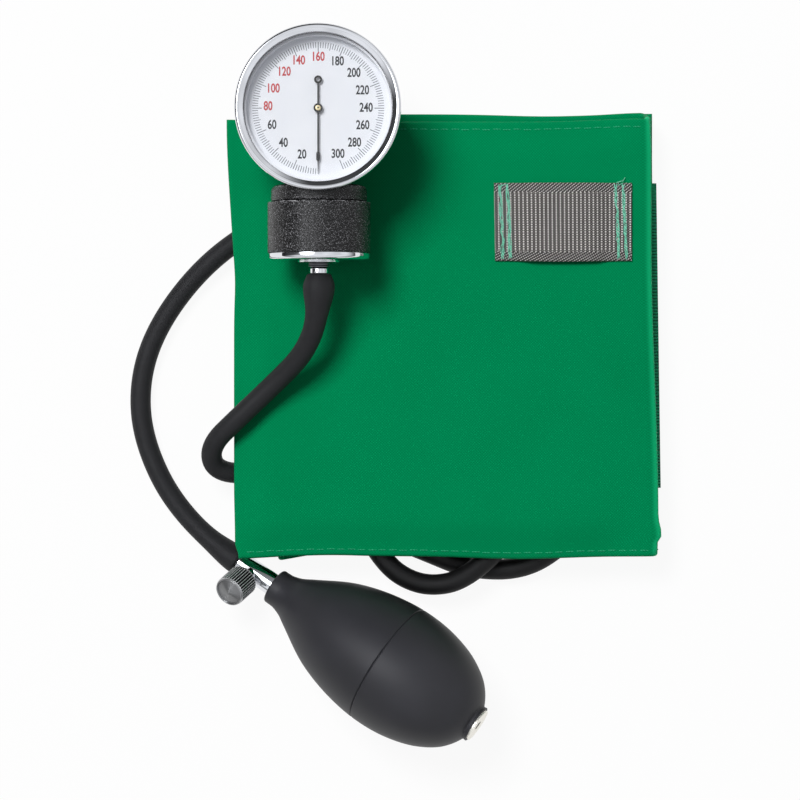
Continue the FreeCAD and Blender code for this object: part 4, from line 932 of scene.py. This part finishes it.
gauge_x, drum_z = -41.6, 40.9
drum_axis = frame_of((gauge_x, 0, drum_z), (0, 1, 0))
print("drum axis at x", gauge_x, "z", drum_z)

# %% Crinkled skin
def crinkled(name, profile, node, amplitude, columns, rows, seed, rim_at, sides=560):
    """Turned piece with a random grain pushed out of its skin; the shade is the grain, higher at the rim for a
    painted highlight.
    """
    profile = np.asarray(profile, float)
    run = run_along(profile)
    turns = full_turn(sides)
    across, along = np.meshgrid(turns / (2 * np.pi), run / run[-1])
    coarse = grain(across, along, columns, rows, seed)
    fine = grain(across, along, 2 * columns, 2 * rows, seed + 1)
    bumps = 0.6 * coarse + 0.4 * fine
    fade = ease(profile[:, 1] / profile[:, 1].max() * 2 - 0.6)[:, None]
    points = lathe_points(drum_axis, profile, turns)
    points = points + outward_of(drum_axis, profile, points) * (amplitude * bumps * fade)[..., None]
    near_rim = bell(np.hypot(profile[:, 0] - rim_at[0], profile[:, 1] - rim_at[1]), 0, 0.3)[:, None]
    # Painted highlight along the rim, broken by a grain.
    rim_glint = np.maximum(near_rim * (0.7 + 0.9 * grain(across, along, 90, 40, seed + 2)), 0)
    make_piece(name, points, grid_faces(len(points), sides), enamel, "black_paint",
               shade=0.5 + 0.5 * bumps + rim_glint, sharp=75, stands_for=[node])


drum_low, drum_high, drum_radius = 27.2, 44.1, 17.1
skin = drum_radius - 0.08
floor_at = drum_low + 0.05
wall = np.linspace(drum_low + 0.9, drum_high - 0.7, 72)
drum_profile = np.concatenate([
    [(floor_at, 0.0), (floor_at, 9.0), (floor_at, 16.2)],
    rounded([(floor_at, 16.2), (floor_at, drum_radius - 0.1), (wall[0], skin)], 0.4),
    np.c_[wall, np.full(len(wall), skin)],
    rounded([(wall[-1], skin), (drum_high, skin), (drum_high, 16.0)], 0.55),
    [(drum_high, 9.0), (drum_high, 0.0)]])
crinkled("drum_shell", drum_profile, "drum_housing", amplitude=0.07, columns=280, rows=120, seed=31,
         rim_at=(drum_high - 0.1, drum_radius - 0.2))

# %% Drum lid
cap_high, cap_radius, shoulder = 49.8, 15.9, 2.2
cap_wall = np.linspace(drum_high + 0.6, cap_high - shoulder, 14)
cap_turn = np.radians(np.linspace(0, 90, 10))
cap_profile = np.concatenate([
    [(drum_high - 0.3, 0.0), (drum_high - 0.3, 14.6), (drum_high + 0.25, 14.6)],
    [(drum_high + 0.3, cap_radius - 0.15)],
    np.c_[cap_wall, np.full(len(cap_wall), cap_radius - 0.05)],
    np.c_[cap_high - shoulder + shoulder * np.sin(cap_turn), cap_radius - 2.25 + shoulder * np.cos(cap_turn)],
    [(cap_high, 9.0), (cap_high, 0.0)]])
crinkled("drum_lid", cap_profile, "drum_cap", amplitude=0.06, columns=260, rows=80, seed=33,
         rim_at=(cap_high - 0.7, cap_radius - 0.7))

# %% Bezel, base plate and nipple
dial_place = np.array(joints["pointer_turn"]["pos_m"]) / MM
dial_axis = frame_of((dial_place[0], dial_place[1], 0), (0, 0, 1))
slope = np.linspace(0, 1, 9)
lip = np.radians(np.linspace(0, 80, 12))
# From the skirt up over the rolled lip, down two sloping bands to the lens, and back to the skirt.
bezel_loop = np.concatenate([
    [(57.4, 25.5), (57.4, 26.95), (57.55, 27.15), (58.3, 27.2), (60.2, 27.2), (60.95, 27.2)],
    np.c_[61.05 + 1.1 * np.sin(lip), 26.1 + 1.1 * np.cos(lip)],
    np.c_[62.12 - 0.05 * slope - 0.09 * slope ** 2, 26.2 - 0.5 * slope],
    np.c_[61.9 - 0.7 * slope - 0.06 * slope ** 2, 25.62 - 1.2 * slope],
    [(61.08, 24.35), (60.9, 24.33), (60.76, 24.45), (60.76, 24.8), (60.76, 25.5), (57.4, 25.5)]])
turned("bezel_ring", dial_axis, bezel_loop, chrome, "chrome", sides=192, stands_for=["bezel"], sharp=50)
rolled = np.radians(np.linspace(0, 80, 16))
# From the hub outwards over the shallow dish to the rolled rim, and back to the axis behind it.
plate_profile = np.concatenate([
    [(24.3, 0.0), (24.3, 5.6)], rounded([(24.3, 5.6), (24.3, 7.0), (24.75, 7.05), (24.8, 7.9)], 0.3),
    [(24.85, 11.5)], np.c_[26.2 - 1.3 * np.sin(rolled), 15.3 + 1.5 * np.cos(rolled)][::-1],
    rounded([(26.4, 16.8), (27.2, 16.8), (27.25, 16.2)], 0.15), [(27.25, 0.0)]])
turned("base_plate_chrome", drum_axis, plate_profile, chrome, "chrome", stands_for=["base_plate"], sharp=30)
# A plain tube inside the hose, a collar that shows, and a short neck in the plate.
nipple_profile = np.concatenate([
    [(13.9, 0.0), (13.9, 2.0), (20.55, 2.05)],
    rounded([(20.55, 2.1), (20.6, 3.1), (22.3, 3.1), (22.35, 2.4)], 0.22), [(24.4, 2.4), (24.4, 0.0)]])
nipple_sides = 96
turned("nipple_chrome", drum_axis, nipple_profile, chrome, "chrome", sides=nipple_sides,
       stands_for=["hose_nipple"])

# %% Nipple thread
oiled_shaded_steel = surface("oiled_shaded_thread_steel", {"Metallic": 1.0, "Roughness": 0.35})
# Cut thread, darkened by oil in its roots and rubbed grey on its crests. The roots and the gap under
# the thread are also painted near black as painted shade.
crest = add(oiled_shaded_steel, "Attribute", attribute_name="shade").outputs["Fac"]
oil_and_shade = add(oiled_shaded_steel, "Mix", {0: crest, 6: linear("050505"), 7: linear("8e8e92")}, data_type="RGBA")
drive(oiled_shaded_steel, Base_Color=oil_and_shade.outputs[2])
thread_at = np.linspace(22.7, 24.25, 31)
thread_crest = np.abs(np.sin(np.linspace(0, 3 * np.pi, 31)))
thread_loop = np.concatenate([[(24.35, 2.2), (22.32, 2.2), (22.32, 2.6), (22.65, 2.6)],
                              np.c_[thread_at, 3.2 + 0.4 * thread_crest], [(24.35, 3.2), (24.35, 2.2)]])
# Painted shade: the rows of the gap and neck are black, and the roots darker than the crests.
thread_oil_and_shade = np.concatenate([[0, 0, 0, 0], 0.15 + 0.85 * thread_crest, [0, 0]])
turned("nipple_thread", drum_axis, thread_loop, oiled_shaded_steel, "chrome", sides=nipple_sides,
       shade=np.repeat(thread_oil_and_shade[:, None], nipple_sides, 1))

# %% [markdown]
# ## Dial
# The dial is a white enamelled plate printed with a ring of ticks, one for every two units, and with figures
# every twenty. Zero is at the bottom, and the scale runs clockwise, 1.125 degrees for each unit. The printing
# is a thin film of ink: ticks are small boxes from one array, and figures come from Blender's own font.

# %% Inks and enamel
# White satin enamel, a little cool, even all over apart from a faint cloudiness.
dial_enamel = mottled("satin_dial_enamel", {"Roughness": 0.4, "Specular IOR Level": 0.3},
                      patch_size=7.0, detail=2.0, first="e8ebf2", second="f2f4f9")
# Screen ink is a dull film whose cover varies a little, between a full and a thin tone.
ink_film = {"values": {"Roughness": 0.6, "Specular IOR Level": 0.2}, "patch_size": 0.5, "detail": 2.0}
dark_ink = mottled("dark_screen_ink", first="222428", second="393b40", **ink_film)
red_ink = mottled("red_screen_ink", first="b73a40", second="cb5257", **ink_film)
tick_ink = mottled("grey_screen_ink", first="50555e", second="70757e", **ink_film)

# %% Ticks
dial_top = 53.9
film_low, film_high = dial_top + 0.005, dial_top + 0.03
dial_x, dial_y = dial_place[0], dial_place[1]
degrees_per_unit = 1.125
readings = np.arange(0, 301, 2)
tick_end = 21.6
inner = np.where(readings % 20 == 0, 18.4, np.where(readings % 10 == 0, 19.2, 19.7))
outer = np.full(len(readings), tick_end)
half_width = np.where(readings % 20 == 0, 0.12, 0.1)
# A reading's direction: 0 points down, and readings run clockwise.
turn = np.radians(degrees_per_unit * readings)[:, None]
toward_x, toward_y = -np.sin(turn), -np.cos(turn)
corner_radius = np.stack([inner, outer, outer, inner], 1)
corner_side = np.stack([-half_width, -half_width, half_width, half_width], 1)
tick_x = dial_x + corner_radius * toward_x - corner_side * toward_y
tick_y = dial_y + corner_radius * toward_y + corner_side * toward_x
layers = [np.stack([tick_x, tick_y, np.full(tick_x.shape, z)], -1) for z in (film_low, film_high)]
box_faces = np.array([(0, 1, 2, 3), (4, 7, 6, 5), (0, 4, 5, 1), (1, 5, 6, 2), (2, 6, 7, 3), (3, 7, 4, 0)])
tick_faces = (np.arange(len(readings)) * 8)[:, None, None] + box_faces[None]
make_piece("dial_ticks", np.concatenate(layers, 1), tick_faces.reshape(-1, 4), tick_ink, "dial_white")

# %% Figures
figure_height, figure_squeeze = 3.0, 0.71
cap_share, stroke_share = 0.73, 0.035
# Each figure's centre from the dial's centre: the ring of figures is a little taller than it is wide.
figure_spots = {20: (-5.3, -15.0), 40: (-11.4, -11.2), 60: (-15.1, -5.3), 80: (-16.4, 0.8), 100: (-14.5, 6.6),
                120: (-10.9, 12.1), 140: (-6.2, 15.8), 160: (0.2, 17.0), 180: (6.5, 15.5), 200: (11.7, 11.7),
                220: (14.5, 6.0), 240: (15.7, 0.3), 260: (14.6, -5.4), 280: (11.9, -11.1), 300: (6.5, -14.8)}


def figure_mesh(reading):
    """Points and faces of one printed figure: the font's mesh, squeezed in x and centred on its spot."""
    curve = bpy.data.curves.new("figure", "FONT")
    curve.body = str(reading)
    curve.align_x = "CENTER"
    curve.align_y = "CENTER"
    curve.size = figure_height / cap_share
    curve.offset = stroke_share * figure_height
    curve.extrude = (film_high - film_low) / 2
    curve.resolution_u = 4
    points, faces = read_curve(curve)
    middle = (points.min(0) + points.max(0)) / 2
    right, up = figure_spots[reading]
    spot = np.array([dial_x + right, dial_y + up, (film_low + film_high) / 2])
    return (points - middle) * np.array([figure_squeeze, 1, 1]) + spot, faces


def figure_piece(name, printed, ink):
    """All printed figures of one ink as one piece."""
    points, faces, first = [], [], 0
    for reading in printed:
        at, outlines = figure_mesh(reading)
        points.append(at)
        faces += [[first + corner for corner in face] for face in outlines]
        first += len(at)
    make_piece(name, np.concatenate(points), faces, ink, "dial_white")


red_readings = [reading for reading in figure_spots if 80 <= reading <= 160]
dark_readings = [reading for reading in figure_spots if reading not in red_readings]
figure_piece("dial_figures", dark_readings, dark_ink)
figure_piece("dial_red_figures", red_readings, red_ink)

# %% [markdown]
# ## Pointer and lens
# The pointer is a stamped hand on a turned hub, with an eye at its tail, a spade near its tip and a brass pin
# in its middle. It rides on its own body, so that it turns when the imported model's joint turns. The hand
# could be cut from a sheet, but rows of half widths say its outline directly. The lens keeps its packed
# shape, and only its glass is made here.

# %% Pointer pin and enamel
# Turned brass, pale yellow, dulled a little by fine tool rings.
brass = dulled("turned_brass", {"Base Color": linear("e6d6a8"), "Metallic": 1.0, "Roughness": 0.3},
               patch_size=0.3, detail=2.0, smooth=0.22, rough=0.42)
pin_profile = np.concatenate([
    [(55.1, 0.0), (55.1, 0.9)], rounded([(55.5, 0.9), (55.98, 0.9), (56.02, 0.5)], 0.15),
    [(56.02, 0.3), (55.6, 0.22), (55.6, 0.0)]])
turned("pointer_pin", dial_axis, pin_profile, brass, "brass", sides=48, body="hand")
# Thin satin black enamel on a stamped hand.
pointer_black = mottled("satin_pointer_enamel", {"Roughness": 0.5, "Specular IOR Level": 0.2},
                        patch_size=1.5, detail=2.0, first="101012", second="1e1e21")

# %% Pointer
def joined(grids):
    """Points and faces of several closed grids as one: each grid's faces start after the points before it."""
    first = np.cumsum([0] + [grid.shape[0] * grid.shape[1] for grid in grids])
    faces = [grid_faces(*grid.shape[:2]) + start for grid, start in zip(grids, first)]
    return np.concatenate([grid.reshape(-1, 3) for grid in grids]), np.concatenate(faces)


hand_low, hand_high = 55.0, 55.35
tail_at = 9.3
# Half width of the hand along it, from the tail's eye past the hub to the spade and its fine tip.
hand_rows = np.array([(8.3, 0.26), (-14.3, 0.26), (-14.6, 0.5), (-14.9, 0.6), (-16.9, 0.6), (-17.2, 0.45),
                      (-17.4, 0.2), (-20.8, 0.1)])
across = hand_rows[:, 1:] * np.array([-1, 1, 1, -1])
up = np.broadcast_to([hand_high, hand_high, hand_low, hand_low], across.shape)
stem = np.stack([dial_x + across, dial_y + hand_rows[:, :1] + 0 * across, up], -1)
last = across.size - 1
stem_ends = np.array([(0, 1, 2, 3), (last, last - 1, last - 2, last - 3)])
eye_axis = frame_of((dial_x, dial_y + tail_at, 0), (0, 0, 1))
eye_loop = np.array([(hand_low, 0.62), (hand_high, 0.62), (hand_high, 1.3), (hand_low, 1.3),
                     (hand_low, 0.62)])
hub_loop = np.array([(hand_low, 0.88), (55.9, 0.88), (55.95, 1.0), (55.95, 1.35), (55.8, 1.48),
                     (hand_low, 1.48), (hand_low, 0.88)])
pivot_rows = np.array([(55.2, 0.0), (55.2, 0.3), (56.05, 0.3), (56.08, 0.2), (56.08, 0.0)])
round_parts = [(eye_axis, eye_loop), (dial_axis, hub_loop), (dial_axis, pivot_rows)]
points, faces = joined([stem] + [lathe_points(axis, loop, full_turn(48)) for axis, loop in round_parts])
make_piece("pointer_hand", points, np.concatenate([faces, stem_ends]), pointer_black, "pointer_black",
           body="hand", stands_for=["pointer"], sharp=30)

# %% Lens
# Clear flat glass: nearly nothing to see but a faint gloss; dust makes it a little rougher in places.
glass = dulled("lens_glass", {"Base Color": linear("ffffff"), "Roughness": 0.03, "IOR": 1.5, "Alpha": 0.03},
               patch_size=5.0, detail=4.0, smooth=0.02, rough=0.06)

# %% [markdown]
# ## Release valve
# The valve is a chromed tube between the bulb's neck and its hose, with a knurled thumb screw on a boss that
# leans up and away from the cuff. The knob's knurl is real geometry: its radius rises and falls round the
# turn. Its spun face has fine rings that spread the highlight into a fan.

# %% Valve axes
bulb_along = -np.array(joints["inlet_open"]["axis"])
screw_along = np.array(joints["release_turn"]["axis"])
meeting = np.array(joints["release_turn"]["pos_m"]) / MM
release_at = 9.1
neck = meeting + release_at * bulb_along
bulb_axis = frame_of(neck, bulb_along)
screw_axis = frame_of(meeting, screw_along)
print("neck of the bulb at", neck.round(2))

# %% Valve tube and boss
tube_radius, boss_radius, tube_end, boss_end = 3.85, 3.0, 13.0, 5.2
tube_profile = np.concatenate([
    [(-20.1, 0.0), (-20.1, 2.0), (-14.55, 2.05)],
    rounded([(-14.6, 2.1), (-14.6, tube_radius), (tube_end, tube_radius), (tube_end, 2.0)], 0.35),
    [(tube_end, 0.0)]])
boss_profile = np.concatenate([
    [(0.0, 0.0)], rounded([(0.0, boss_radius), (boss_end, boss_radius), (boss_end, 1.8)], 0.35),
    [(boss_end, 0.0)]])
turned_parts = [(bulb_axis, tube_profile), (screw_axis, boss_profile)]
points, faces = joined([lathe_points(axis, profile, full_turn(96)) for axis, profile in turned_parts])
make_piece("valve_chrome", points, faces, chrome, "chrome", stands_for=["valve_body"], sharp=45)

# %% Spun chrome
spun_chrome = surface("spun_chrome", {"Metallic": 0.8, "Roughness": 0.32, "Anisotropic": 0.9})
# Plated brass left from the lathe: greyer than the polished plate, with fine rings round its axis that draw
# the light out into a fan. The pattern is turned until the knob's axis stands upright in it.
place = add(spun_chrome, "TexCoord").outputs["Object"]
pivot = (meeting * MM).tolist()
to_level = {"Vector": place, "Center": pivot, "Angle": -math.atan2(screw_along[1], screw_along[0])}
level = add(spun_chrome, "VectorRotate", to_level, rotation_type="Z_AXIS")
to_upright = {"Vector": level.outputs[0], "Center": pivot, "Angle": -math.acos(screw_along[2])}
upright = add(spun_chrome, "VectorRotate", to_upright, rotation_type="Y_AXIS")
shifted = add(spun_chrome, "VectorMath", {0: upright.outputs[0], 1: pivot}, operation="SUBTRACT")
flat = add(spun_chrome, "VectorMath", {0: shifted.outputs[0], 1: (1.0, 1.0, 0.0)}, operation="MULTIPLY")
spun_pitch = 0.35
# Lathe rings are finer than this, and are drawn this coarse so that they fan out the highlight.
spun = {"Vector": flat.outputs[0], "Scale": one_wave / (spun_pitch * MM), "Distortion": 0.5}
rings = add(spun_chrome, "TexWave", spun, wave_type="RINGS", rings_direction="SPHERICAL")
relief = add(spun_chrome, "Bump", {"Strength": 0.12, "Distance": 0.03 * MM, "Height": rings.outputs["Fac"]})
groove_wear_and_shade = add(spun_chrome, "Attribute", attribute_name="shade").outputs["Fac"]
# The grooves of the knurl are painted almost black, for oil in them and as painted shade, and the narrow tops
# of its ridges bright as a painted highlight.
wear_and_painted_light = add(spun_chrome, "Mix", {0: groove_wear_and_shade, 6: linear("060607"), 7: linear("f4f5f7")}, data_type="RGBA")
lay = add(spun_chrome, "Tangent", direction_type="UV_MAP", uv_map="millimetres")
drive(spun_chrome, Base_Color=wear_and_painted_light.outputs[2], Normal=relief.outputs[0], Tangent=lay.outputs[0])

# %% Knurled knob
knob_low, knob_high, knob_radius = 5.7, 15.3, 5.3
ridge_count, ridge_depth = 36, 0.1
# From the stem out under the knob, up its knurled side, over the rim and in across the domed face.
knob_profile = np.concatenate([
    [(2.9, 0.0), (2.9, 1.6), (knob_low, 1.6), (knob_low, 2.0), (knob_low, 4.5)],
    [(knob_low + 0.35, 4.95), (knob_low + 0.7, knob_radius)],
    np.c_[np.linspace(knob_low + 0.9, knob_high - 0.75, 8), np.full(8, knob_radius)],
    rounded([(knob_high - 0.7, 5.22), (knob_high, 4.95), (knob_high, 4.6), (knob_high - 0.5, 4.45)], 0.2),
    [(knob_high - 0.48, 4.3), (knob_high - 0.1, 2.5), (knob_high + 0.22, 1.0), (knob_high + 0.3, 0.4),
     (knob_high + 0.3, 0.0)]])
knob_along, knob_reach = knob_profile[:, 0], knob_profile[:, 1]
knob_turns = full_turn(ridge_count * 12)
knob_points = lathe_points(screw_axis, knob_profile, knob_turns)
knob_centre = screw_axis[0] + knob_profile[:, None, :1] * screw_axis[1]
inside = (knob_along > knob_low + 0.5) & (knob_along < knob_high - 0.72)
groove_share = (0.5 + 0.5 * np.cos(ridge_count * knob_turns))[None, :] * inside[:, None]
knob_points = knob_centre + (knob_points - knob_centre) * (1 - ridge_depth * groove_share)[..., None]
on_face = (knob_along > knob_high - 0.6) & (knob_reach < 4.44)
on_rim = (knob_along > knob_high - 0.65) & ~on_face
face_tone, rim_tone, side_tone = 0.28, 0.36, 0.85
part_tone = np.where(on_face, face_tone, np.where(on_rim, rim_tone, side_tone))
# Painted shade in the grooves and a painted highlight on the narrow ridge tops.
knob_shade = (1 - groove_share) ** 3 * part_tone[:, None]
# The map's first direction runs out from the axis, and the spun rings spread the light along it.
knob_uv = np.stack(np.meshgrid(knob_reach - knob_along, knob_turns * knob_radius, indexing="ij"), -1)
knob_faces = grid_faces(len(knob_points), len(knob_turns))
make_piece("knurled_knob", knob_points, knob_faces, spun_chrome, "chrome", body="knob",
           stands_for=["release_knob"], uv=knob_uv, shade=knob_shade, sharp=60)

# %% [markdown]
# ## Squeeze bulb
# The bulb is moulded in matt black rubber in two halves, so a fine parting line runs round its widest place.
# A stretched sphere would be close, but its neck and lip would be missing. So its outline is a smooth curve
# through the same points as the imported solid, turned round its tilted axis.

# %% Bulb rubber
# Moulded rubber with a fine mould texture: soft wide highlights, slightly cool. The side that faces up and a
# little towards the lamp is painted greyer as painted light, and the flanks darker as painted shade.
bulb_rubber = bloomed_rubber(
    "moulded_bulb_rubber", {"Roughness": 0.5, "Specular IOR Level": 0.35, "IOR": 1.52}, shaded_tone="161617",
    bloom=("252528", "303035"), bloom_size=12.0, detail=5.0, pit_size=0.5, pit_strength=0.1)

# %% Bulb outline
bulb_length, tail_lip = 84.1, 1.4
curve_shares = np.array([0.08, 0.125, 0.285, 0.45, 0.58, 0.73, 0.853, 0.935])
curve_radii = np.array([7.27, 9.374, 16.557, 20.507, 21.7, 20.615, 17.208, 12.478])
belly_rows = np.c_[curve_shares * bulb_length, curve_radii]
knots = np.concatenate([[(3.5, 6.3)], belly_rows, [(bulb_length - tail_lip, 6.6)]])


def curve_through(knots, shares):
    """Smooth curve through knots: cubic Hermite pieces, with slopes of parabolas through three knots."""
    chord = run_along(knots)
    slope = np.gradient(knots, chord, axis=0, edge_order=2)
    at = shares * chord[-1]
    piece = np.clip(np.searchsorted(chord, at, side="right") - 1, 0, len(chord) - 2)
    span = (chord[piece + 1] - chord[piece])[:, None]
    t = (at - chord[piece])[:, None] / span
    start, end = knots[piece], knots[piece + 1]
    leave, arrive = slope[piece] * span, slope[piece + 1] * span
    return ((2 * t ** 3 - 3 * t ** 2 + 1) * start + (t ** 3 - 2 * t ** 2 + t) * leave
            + (3 * t ** 2 - 2 * t ** 3) * end + (t ** 3 - t ** 2) * arrive)


even = np.linspace(0, 1, 200)
seam_at, seam_depth, seam_width = 47.6, 0.4, 0.22
seam_share = np.interp(seam_at, curve_through(knots, even)[:, 0], even)
belly = curve_through(knots, np.unique(np.concatenate([even, seam_share + np.linspace(-0.012, 0.012, 49)])))
belly[:, 1] -= seam_depth * bell(belly[:, 0], seam_at, seam_width)
bulb_profile = np.concatenate([
    [(0.0, 0.0), (0.0, 4.0)], rounded([(0.0, 4.0), (0.0, 6.2), (2.4, 6.25)], 0.8, 7), belly,
    rounded([(82.8, 6.55), (83.2, 6.35), (bulb_length, 6.6), (bulb_length, 5.0)], 0.4), [(bulb_length, 0.0)]])
print("widest", round(2 * bulb_profile[:, 1].max(), 1), "mm")

# %% Bulb
bulb_turns = full_turn(160)
bulb_points = lathe_points(bulb_axis, bulb_profile, bulb_turns)
# Painted light: greyer where the surface faces this way, up and a little towards the lamp.
painted_light_side = np.array([-0.3, 0.05, 0.95])
bulb_painted_light = ease(0.15 + 0.9 * (outward_of(bulb_axis, bulb_profile, bulb_points) @ painted_light_side))
make_piece("squeeze_bulb", bulb_points, grid_faces(len(bulb_points), len(bulb_turns)), bulb_rubber,
           "bulb_rubber", stands_for=["bulb"], shade=bulb_painted_light, sharp=70)

# %% [markdown]
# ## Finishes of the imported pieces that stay
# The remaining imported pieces, such as the hook, the case and the movement, already have their real shape.
# Each takes the finish of its material slot, which is the name of the material that it came with.

# %% Remaining finishes
# Rolled steel strip, brushed along its length: grey, with long faint streaks.
steel = dulled("brushed_steel", {"Base Color": linear("a9abae"), "Metallic": 1.0, "Roughness": 0.34},
               patch_size=0.25, detail=3.0, smooth=0.26, rough=0.45, stretch=(1.0, 0.04, 1.0))
# Soft pale plate, tumbled until its gloss is dull.
nickel = dulled("satin_nickel", {"Base Color": linear("f4f1e8"), "Metallic": 1.0, "Roughness": 0.4},
                patch_size=0.6, detail=2.0, smooth=0.34, rough=0.48)
# Soft white vinyl, a little yellowed in patches.
vinyl = mottled("white_gasket_vinyl", {"Roughness": 0.5, "Specular IOR Level": 0.3},
                patch_size=3.0, detail=2.0, first="dfe1e8", second="ecebea")

own_finish = {"dial_spacer": dial_enamel, "inlet_valve_body": nickel, "lens_gasket": vinyl}
finishes = {"chrome": chrome, "black_paint": enamel, "dial_white": dial_enamel, "lens_glass": glass,
            "pointer_black": pointer_black, "brass": brass, "steel": steel, "seal_rubber": hose_rubber,
            "hose_rubber": hose_rubber, "bulb_rubber": bulb_rubber, "bladder_rubber": bladder_rubber}
dressed = 0
for name, part in frame["nodes"].items():
    for holder in part.material_slots:
        if not part.hide_render:
            holder.material = own_finish.get(name) or finishes[holder.material.name.split(".")[0]]
            dressed += 1
print("packed pieces dressed", dressed)
